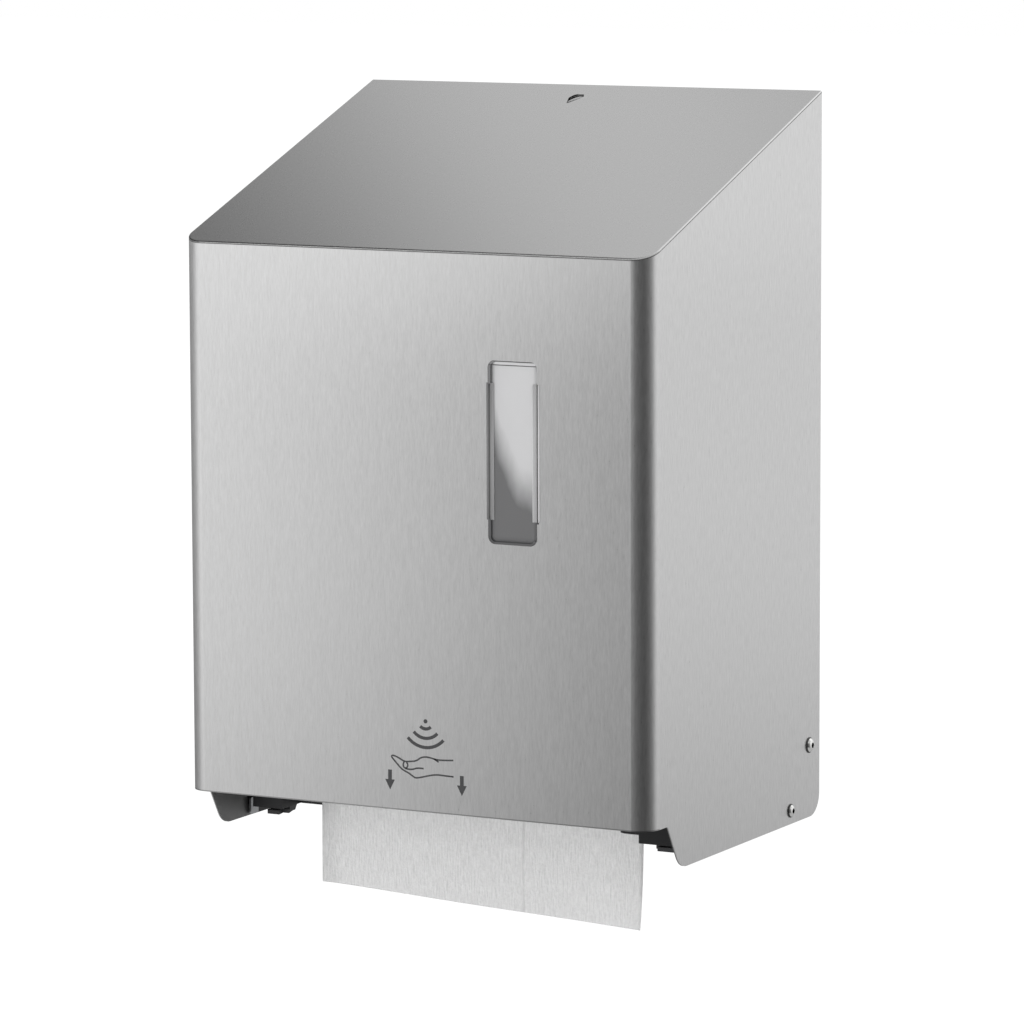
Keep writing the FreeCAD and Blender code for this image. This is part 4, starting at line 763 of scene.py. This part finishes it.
class DISPENSER_OT_screws(Steps):
    """Turn the button-head screws that the cover swings on and is guided by"""

    bl_idname = "dispenser.screws"
    bl_label = "Button-head screws"

    # Where the pins start and where the heads sit, then radius and height of each head, pin and socket
    start, seat = SIDE - 0.007, SIDE
    sizes = {
        "pivot_screws": (0.0041, 0.0020, 0.0025, 0.0017),
        "guide_screws": (0.0047, 0.0024, 0.0030, 0.0018),
    }

    def execute(self, context):
        tone = tuple(self.settings("steel").bright)
        for node, (radius, height, pin, socket) in self.sizes.items():
            low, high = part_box(node)
            middle = ((low[1] + high[1]) / 2, (low[2] + high[2]) / 2)
            right = self.screw(node, middle, radius, height, pin, socket)
            left = right.copy()
            left.data = right.data.copy()
            context.collection.objects.link(left)
            # Turned half round, it comes to the left side and is moved back to its place in depth
            left.rotation_euler.z = math.pi
            left.location.y = 2 * middle[0]
            only(left)
            apply_place()
            pair = joined(node.replace("screws", "button_heads"), right, left)
            material = button_steel(pair.name, tone, middle, self.seat, socket)
            fixed_to_cover(pair, material, "bright_steel", node)
        return {"FINISHED"}

    def screw(self, node, middle, radius, height, pin, socket):
        """Pin, flange and dome drawn out step by step, then the hexagon is cut."""
        seat, sideways = self.seat, (0, math.pi / 2, 0)
        only()
        bpy.ops.mesh.primitive_circle_add(
            vertices=48, radius=pin, fill_type="NGON", location=(self.start, *middle), rotation=sideways)
        screw = named(node + "_right")
        apply_place()
        bpy.ops.object.mode_set(mode="EDIT")
        bpy.ops.mesh.select_all(action="SELECT")
        dome = ((0.55, 0.80), (0.80, 0.66), (0.95, 0.50), (1.0, 0.41))
        rings = [(seat, pin), (seat, radius), (seat + 0.0004, radius), (seat + 0.0006, radius * 0.90)]
        rings += [(seat + height * up, radius * out) for up, out in dome]
        wide, reach = pin, self.start
        for up, out in rings:
            bpy.ops.mesh.extrude_region_move(TRANSFORM_OT_translate={"value": (up - reach, 0, 0)})
            bpy.ops.transform.resize(value=(1, out / wide, out / wide), center_override=(up, *middle))
            wide, reach = out, up
        face_outward()
        only()
        bpy.ops.mesh.primitive_cylinder_add(
            vertices=6, radius=socket, depth=0.0030, location=(seat + height, *middle), rotation=sideways)
        key = bpy.context.object
        only(screw)
        hole = screw.modifiers.new("socket", "BOOLEAN")
        hole.operation = "DIFFERENCE"
        hole.object = key
        bpy.ops.object.modifier_apply(modifier=hole.name)
        bpy.data.objects.remove(key)
        bpy.ops.object.shade_smooth_by_angle(angle=math.radians(32))
        return screw


class DISPENSER_OT_chassis(Steps):
    """Finish the back plate, brackets, arms, lock and feed works"""

    bl_idname = "dispenser.chassis"
    bl_label = "Chassis and works"

    def execute(self, context):
        steel, plastic = self.settings("steel"), self.settings("plastic")
        zinc, bright = steel.zinc, steel.bright
        black, grey, white = plastic.black, plastic.grey, plastic.white
        dress(plated_steel("zinc_sheet", zinc), "back_plate", "bracket_rivets", "latch_bracket",
              "lock_latch", "roll_arm_left", "roll_arm_right")
        dress(blackened_steel(zinc), "hinge_bracket_left", "hinge_bracket_right")
        dress(plain("turned", "bright_steel", bright, Metallic=1.0), "latch_pin", "latch_spring",
              "hub_pin_left", "hub_plunger", "arm_screws", "cheek_screws", "tear_bar", "tear_bar_screws",
              "feed_shaft", "idler_pin", "motor_shaft", "pinch_shaft", "fascia_screws", "battery_contacts")
        dress(plain("turned", "turned_brass", (0.60, 0.42, 0.16), Metallic=1.0),
              "feed_bearings", "motor_pinion")
        dress(plain("painted", "black_rails", (0.035, 0.035, 0.037)), "chassis_rails")
        dress(moulded_plastic("black_plastic", black), "cheek_left", "cheek_right", "base_tray",
              "front_guide", "sensor_housing", "power_switch", "battery_box")
        dress(moulded_plastic("grey_plastic", grey), "roll_hub_left", "roll_hub_right", "feed_roller",
              "pinch_carrier", "fascia", "battery_door")
        dress(moulded_plastic("white_plastic", white, 0.35), "feed_gear", "idler_gear", "feed_button",
              "board_spacers")
        dress(plain("rubber", "black_rubber", (0.02, 0.02, 0.02)), "feed_rings", "pinch_roller")
        dress(plated_steel("motor_can", (0.50, 0.51, 0.52)), "gearmotor")
        dress(plain("lens", "sensor_red", (0.05, 0.008, 0.012), Coat_Weight=0.6), "sensor_lens")
        dress(battery_jacket(), "battery_cells")
        dress(circuit_board(), "control_board")
        return {"FINISHED"}


class DISPENSER_OT_paper(Steps):
    """Make the towel from the roll through the rollers to its torn end"""

    bl_idname = "dispenser.paper"
    bl_label = "Paper"

    columns, web_rows, tail_rows = 84, 24, 72
    left_margin, tear, nip_lead, nip_drop = 0.0008, 0.010, 0.00035, 0.0025

    def execute(self, context):
        paper = self.settings("paper")
        dress(wound_paper(paper.colour), "paper_roll")
        dress(card(paper.core), "roll_core")
        low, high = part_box("paper_tail")
        web_low, web_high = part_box("paper_web")
        tail_y = (low[1] + high[1]) / 2
        left_end, right_end = low[2] + self.tear, low[2]
        width = high[0] - low[0] - self.left_margin
        top = (web_low[1] + 0.0004, web_high[2])
        nip = (tail_y - self.nip_lead, web_low[2] + 0.0006)
        shares = [step / self.web_rows for step in range(self.web_rows + 1)]
        web = [(top[0] + (nip[0] - top[0]) * share, top[1] + (nip[1] - top[1]) * share) for share in shares]
        hang = nip[1] - self.nip_drop
        web.append((tail_y, hang))
        last_row = len(web) + self.tail_rows - 1
        sheet = grid("towel_sheet", self.columns, last_row)
        for vertex in sheet.data.vertices:
            across = vertex.co.x + 0.5
            row = round((0.5 - vertex.co.y) * last_row)
            x = low[0] + self.left_margin + width * across
            if row < len(web):
                vertex.co = (x, *web[row])
                continue
            down = (row - len(web) + 1) / self.tail_rows
            bottom = left_end + (right_end - left_end) * across
            lean = self.lean(across, down, paper.curl)
            vertex.co = (x, tail_y + lean, hang + (bottom - hang) * down)
        thicken(sheet, paper.thick, 0)
        sheet.data.materials.append(crepe_paper(paper.colour, paper.fold))
        layer = sheet.data.uv_layers.active
        for loop in sheet.data.loops:
            spot = sheet.data.vertices[loop.vertex_index].co
            layer.data[loop.index].uv = (spot.x, spot.z)
        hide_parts("paper_web", "paper_tail")
        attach(sheet, "chassis")
        return {"FINISHED"}

    @staticmethod
    def lean(across, down, curl):
        """How far the hanging end stands off its plane. Forward is negative."""
        slack = down ** 1.5
        belly = math.sin(math.pi * min(1.0, down)) ** 0.8
        wave = 0.0006 * math.sin(across * 9.0 + 0.6) * slack
        right = max(0.0, across - 0.86) / 0.14
        left = max(0.0, 0.08 - across) / 0.08
        return wave + curl * right ** 1.8 * belly - 0.0010 * left ** 2 * slack


class DISPENSER_OT_sign(Steps):
    """Print the small sign: waves over a hand, and an arrow on each side"""

    bl_idname = "dispenser.sign"
    bl_label = "Sign"

    centre_x, wave_z, wave_wide = 0.0080, -0.1470, 0.0019
    waves = ((0.0050, 43), (0.0104, 47), (0.0157, 47))
    arrow_top = -0.1772

    def execute(self, context):
        sign = self.settings("sign")
        self.proud = sign.proud
        self.ink = plain("ink", "sign_ink", sign.ink)
        self.pieces = 0
        self.flat(arc(self.centre_x, self.wave_z - 0.0006, 0.00125, 0, 345, 23))
        half = self.wave_wide / 2
        for radius, spread in self.waves:
            start, end = 270 - spread, 270 + spread
            self.flat(arc(self.centre_x, self.wave_z, radius + half, start, end, 24)
                      + arc(self.centre_x, self.wave_z, radius - half, end, start, 24))
        self.hand(sign.line)
        for x in (-0.0152, 0.0312):
            self.arrow(x, self.arrow_top)
        return {"FINISHED"}

    def flat(self, outline):
        """A thin patch of ink from its outline of (x, z) corners."""
        self.pieces += 1
        middle = (0, FRONT - self.proud * 0.4, 0)
        patch = drawn_piece("sign_%02d" % self.pieces, outline, self.proud, middle)
        fixed_to_cover(patch, self.ink, "black_plastic")

    def arrow(self, x, top):
        shaft, head, neck, tip = 0.0012, 0.0031, 0.0056, 0.0115
        self.flat([
            (x + shaft, top), (x - shaft, top), (x - shaft, top - neck), (x - head, top - neck),
            (x, top - tip), (x + head, top - neck), (x + shaft, top - neck),
        ])

    def hand(self, wide):
        """A plain open hand, palm up, from smooth strokes."""
        palm = [
            (0.0258, -0.1687), (0.0205, -0.1691), (0.0153, -0.1693), (0.0114, -0.1684),
            (0.0080, -0.1680), (0.0046, -0.1688), (0.0020, -0.1709), (-0.0028, -0.1716),
            (-0.0059, -0.1718), (-0.0099, -0.1697), (-0.0131, -0.1687), (-0.0141, -0.1691),
            (-0.0140, -0.1699), (-0.0133, -0.1706), (-0.0106, -0.1734), (-0.0078, -0.1761),
            (-0.0054, -0.1773), (-0.0031, -0.1782), (-0.0003, -0.1799), (0.0017, -0.1809),
            (0.0079, -0.1793), (0.0144, -0.1777), (0.0208, -0.1780), (0.0259, -0.1781),
        ]
        thumb = [
            (-0.0059, -0.1718), (-0.0066, -0.1732), (-0.0065, -0.1748), (-0.0053, -0.1757),
            (-0.0039, -0.1750), (-0.0035, -0.1734), (-0.0044, -0.1721),
        ]
        crease = [
            (-0.0053, -0.1757), (-0.0025, -0.1762), (0.0001, -0.1758), (0.0023, -0.1749),
            (0.0067, -0.1749),
        ]
        wrist = [(0.0134, -0.1688), (0.0163, -0.1704)]
        for stroke in (palm, thumb, crease, wrist):
            self.stroke(self.smooth(stroke), wide)

    @staticmethod
    def smooth(points):
        for _ in range(2):
            finer = [points[0]]
            for (ax, az), (bx, bz) in zip(points, points[1:]):
                finer.append((ax * 0.75 + bx * 0.25, az * 0.75 + bz * 0.25))
                finer.append((ax * 0.25 + bx * 0.75, az * 0.25 + bz * 0.75))
            finer.append(points[-1])
            points = finer
        return points

    def stroke(self, line, wide):
        left, right = [], []
        for i, (x, z) in enumerate(line):
            ahead, behind = line[min(i + 1, len(line) - 1)], line[max(i - 1, 0)]
            run = Vector((ahead[0] - behind[0], ahead[1] - behind[1])).normalized() * wide / 2
            left.append((x - run.y, z + run.x))
            right.append((x + run.y, z - run.x))
        self.flat(right + left[::-1])


class DISPENSER_OT_stage(Steps):
    """Set up the white studio, its lamps, the floor and the camera"""

    bl_idname = "dispenser.stage"
    bl_label = "Stage"

    focal_pixels, frame_pixels, sensor = 5458.0, 1024.0, 36.0
    stand = Vector((1.4718, -2.9020, 0.3777))
    yaw, pitch, roll = math.radians(27.75), math.radians(7.58), math.radians(-0.21)
    tent_radius, tent_strength = 1.1, 1.6
    ambient, ground_light = (0.44, 0.44, 0.44), (0.27, 0.27, 0.27)
    floor_z, floor_size, floor_glow = -1.25, 60.0, 0.7
    aim = Vector((0, -0.1, 0))
    # Each lamp: its place, its size and its power
    lamps = {
        "front_box": ((0.75, -2.6, -0.35), 0.9, 17.0),
        "left_box": ((-2.0, -1.75, -0.05), 1.2, 20.0),
        "side_box": ((2.4, -0.6, 1.0), 1.2, 12.0),
        "top_box": ((-0.4, -0.2, 2.4), 1.5, 14.0),
        "back_box": ((0.9, 2.6, 0.6), 1.5, 24.0),
    }
    # Light on the tent: (heading, level) around it, then (elevation, share) up its wall
    wall_light = (
        (-180, 0.41), (-141, 0.26), (-118, 0.21), (-90, 0.23), (-75, 0.26), (-62, 0.32), (-52, 0.44),
        (-42, 0.72), (-36, 0.83), (-28, 0.66), (-20, 0.42), (-12, 0.21), (0, 0.115), (20, 0.080),
        (45, 0.048), (62, 0.085), (76, 0.13), (88, 0.26), (98, 0.44), (107, 0.60), (122, 0.60),
        (138, 0.54), (160, 0.54), (180, 0.41),
    )
    brow_light = (
        (-180, 0.41), (-118, 0.21), (-75, 0.24), (-62, 0.30), (-52, 0.42), (-42, 0.62), (-36, 0.70),
        (-28, 0.70), (-20, 0.80), (-13, 0.54), (-7, 0.20), (0, 0.10), (20, 0.065), (45, 0.045),
        (62, 0.09), (76, 0.15), (88, 0.32), (98, 0.56), (140, 0.555), (160, 0.54), (180, 0.41),
    )
    roof_light = (
        (-180, 0.35), (-160, 0.35), (-155, 0.36), (-150, 0.395), (-144, 0.395), (-138, 0.385),
        (-134, 0.325), (-128, 0.228), (-121, 0.128), (-110, 0.06), (-100, 0.04), (-50, 0.03),
        (-30, 0.08), (-10, 0.32), (60, 0.34), (110, 0.36), (130, 0.66), (160, 0.66), (175, 0.48),
        (180, 0.35),
    )
    fall_light = ((-90, 0.30), (-27, 0.53), (-21, 0.67), (-17, 0.76), (-12, 0.85), (-7, 0.88), (90, 0.89))
    brow_share = ((-90, 0.0), (-1, 0.0), (2.5, 1.0), (90, 1.0))
    roof_share = ((-90, 0.0), (10, 0.0), (20, 1.0), (90, 1.0))
    ground_share = ((-90, 1.0), (-42, 1.0), (-27, 0.0), (90, 0.0))

    def execute(self, context):
        scene = context.scene
        scene.view_settings.view_transform = "Standard"
        self.camera(scene)
        self.studio(scene)
        self.floor()
        self.tent()
        for name, lamp in self.lamps.items():
            self.lamp(name, *lamp)
        return {"FINISHED"}

    def camera(self, scene):
        ahead = Vector((
            -math.sin(self.yaw) * math.cos(self.pitch), math.cos(self.yaw) * math.cos(self.pitch),
            -math.sin(self.pitch)))
        side = Vector((math.cos(self.yaw), math.sin(self.yaw), 0.0))
        up = side.cross(ahead)
        right = side * math.cos(self.roll) + up * math.sin(self.roll)
        upward = up * math.cos(self.roll) - side * math.sin(self.roll)
        lens = bpy.data.cameras.new("photo_camera")
        lens.sensor_width = self.sensor
        lens.lens = self.sensor * self.focal_pixels / self.frame_pixels
        lens.clip_end = 200.0
        eye = bpy.data.objects.new("photo_camera", lens)
        bpy.context.collection.objects.link(eye)
        turned = Matrix((right, upward, -ahead)).transposed().to_4x4()
        eye.matrix_world = Matrix.Translation(self.stand) @ turned
        scene.camera = eye

    def studio(self, scene):
        world = bpy.data.worlds.new("studio")
        world.use_nodes = True
        scene.world = world
        sky = Finish("studio", world.node_tree)
        level = sky.mix(self.seen(sky), self.ambient, (1.0, 1.0, 1.0))
        background = sky.node("Background", {}, {"Color": level, "Strength": 1.0})
        output = world.node_tree.nodes.new("ShaderNodeOutputWorld")
        world.node_tree.links.new(background.socket, output.inputs["Surface"])

    @staticmethod
    def seen(finish):
        """1 where the eye, a mirror image or a view through glass meets the backdrop."""
        path = finish.node("LightPath", {}, {}).socket.node.outputs
        eye, gloss, glass = (Value(finish, path["Is %s Ray" % kind])
                             for kind in ("Camera", "Glossy", "Transmission"))
        return (eye + gloss + glass).clipped()

    def floor(self):
        only()
        bpy.ops.mesh.primitive_plane_add(size=self.floor_size, location=(0, 0, self.floor_z))
        floor = bpy.context.object
        floor.name = "studio_floor"
        floor.visible_glossy = False
        finish = Finish("floor_white")
        glow = self.seen(finish) * self.floor_glow
        matt = finish.node("BsdfDiffuse", {}, {"Color": (0.8, 0.8, 0.8, 1.0)})
        glow = finish.node("Emission", {}, {"Color": (1.0, 1.0, 1.0, 1.0), "Strength": glow})
        finish.close(finish.node("AddShader", {}, {0: matt, 1: glow}))
        floor.data.materials.append(finish.material)

    def tent(self):
        """The soft boxes and dark flags around the object, which only its gloss mirrors."""
        only()
        bpy.ops.mesh.primitive_uv_sphere_add(segments=48, ring_count=24, radius=self.tent_radius)
        tent = bpy.context.object
        tent.name = "studio_tent"
        bpy.ops.object.shade_smooth()
        for kind in ("camera", "diffuse", "transmission", "volume_scatter", "shadow"):
            setattr(tent, "visible_" + kind, False)
        finish = Finish("tent_cloth")
        x, y, z = finish.axes()
        heading = finish.node("Math", {"operation": "ARCTAN2"}, {0: x, 1: y * -1.0}) / math.tau + 0.5
        height = z / self.tent_radius

        def ramp(stops, spot):
            return finish.node("ValToRGB", {"stops": stops}, {"Fac": spot})

        wall, brow, roof = (ramp(self.turned(stops), heading)
                            for stops in (self.wall_light, self.brow_light, self.roof_light))
        fall, over_wall, over_brow, below = (ramp(self.raised(stops), height * 0.5 + 0.5) for stops in (
            self.fall_light, self.brow_share, self.roof_share, self.ground_share))
        falling = finish.node("VectorMath", {"operation": "MULTIPLY"}, {0: wall, 1: fall})
        grounded = finish.mix(below, falling, self.ground_light)
        light = finish.mix(over_brow, finish.mix(over_wall, grounded, brow), roof)
        finish.close(finish.node("Emission", {}, {"Color": light, "Strength": self.tent_strength}))
        tent.data.materials.append(finish.material)
        finish.material.cycles.emission_sampling = "NONE"

    @staticmethod
    def turned(stops):
        """Ramp stops from headings in degrees, counted from the front towards the right."""
        return [((heading + 180) / 360, level) for heading, level in stops]

    @staticmethod
    def raised(stops):
        """Ramp stops from elevations in degrees."""
        return [(math.sin(math.radians(angle)) * 0.5 + 0.5, level) for angle, level in stops]

    def lamp(self, name, place, size, power):
        light = bpy.data.lights.new(name, "AREA")
        light.size = size
        light.energy = power
        lamp = bpy.data.objects.new(name, light)
        bpy.context.collection.objects.link(lamp)
        lamp.location = place
        lamp.visible_glossy = False
        lamp.rotation_euler = (self.aim - Vector(place)).to_track_quat("-Z", "Y").to_euler()


STEPS = (DISPENSER_OT_stage, DISPENSER_OT_cover, DISPENSER_OT_window, DISPENSER_OT_screws,
         DISPENSER_OT_chassis, DISPENSER_OT_paper, DISPENSER_OT_sign)


class DISPENSER_PT_steps(Panel):
    """The steps of the making and their settings"""

    bl_label = "Dispenser"
    bl_space_type = "VIEW_3D"
    bl_region_type = "UI"
    bl_category = "Dispenser"

    def draw(self, context):
        for step in STEPS:
            self.layout.operator(step.bl_idname)
        for group, settings in SETTINGS.items():
            box = self.layout.box()
            for name in settings.__annotations__:
                box.prop(getattr(context.scene, "dispenser_" + group), name)


def register():
    for group in SETTINGS.values():
        bpy.utils.register_class(group)
    for step in STEPS:
        bpy.utils.register_class(step)
    bpy.utils.register_class(DISPENSER_PT_steps)
    for name, group in SETTINGS.items():
        setattr(bpy.types.Scene, "dispenser_" + name, PointerProperty(type=group))


def unregister():
    for name in SETTINGS:
        delattr(bpy.types.Scene, "dispenser_" + name)
    for kind in (DISPENSER_PT_steps, *reversed(STEPS), *reversed(SETTINGS.values())):
        bpy.utils.unregister_class(kind)


def main():
    register()
    for step in STEPS:
        group, name = step.bl_idname.split(".")
        getattr(getattr(bpy.ops, group), name)()


if __name__ == "__main__":
    main()
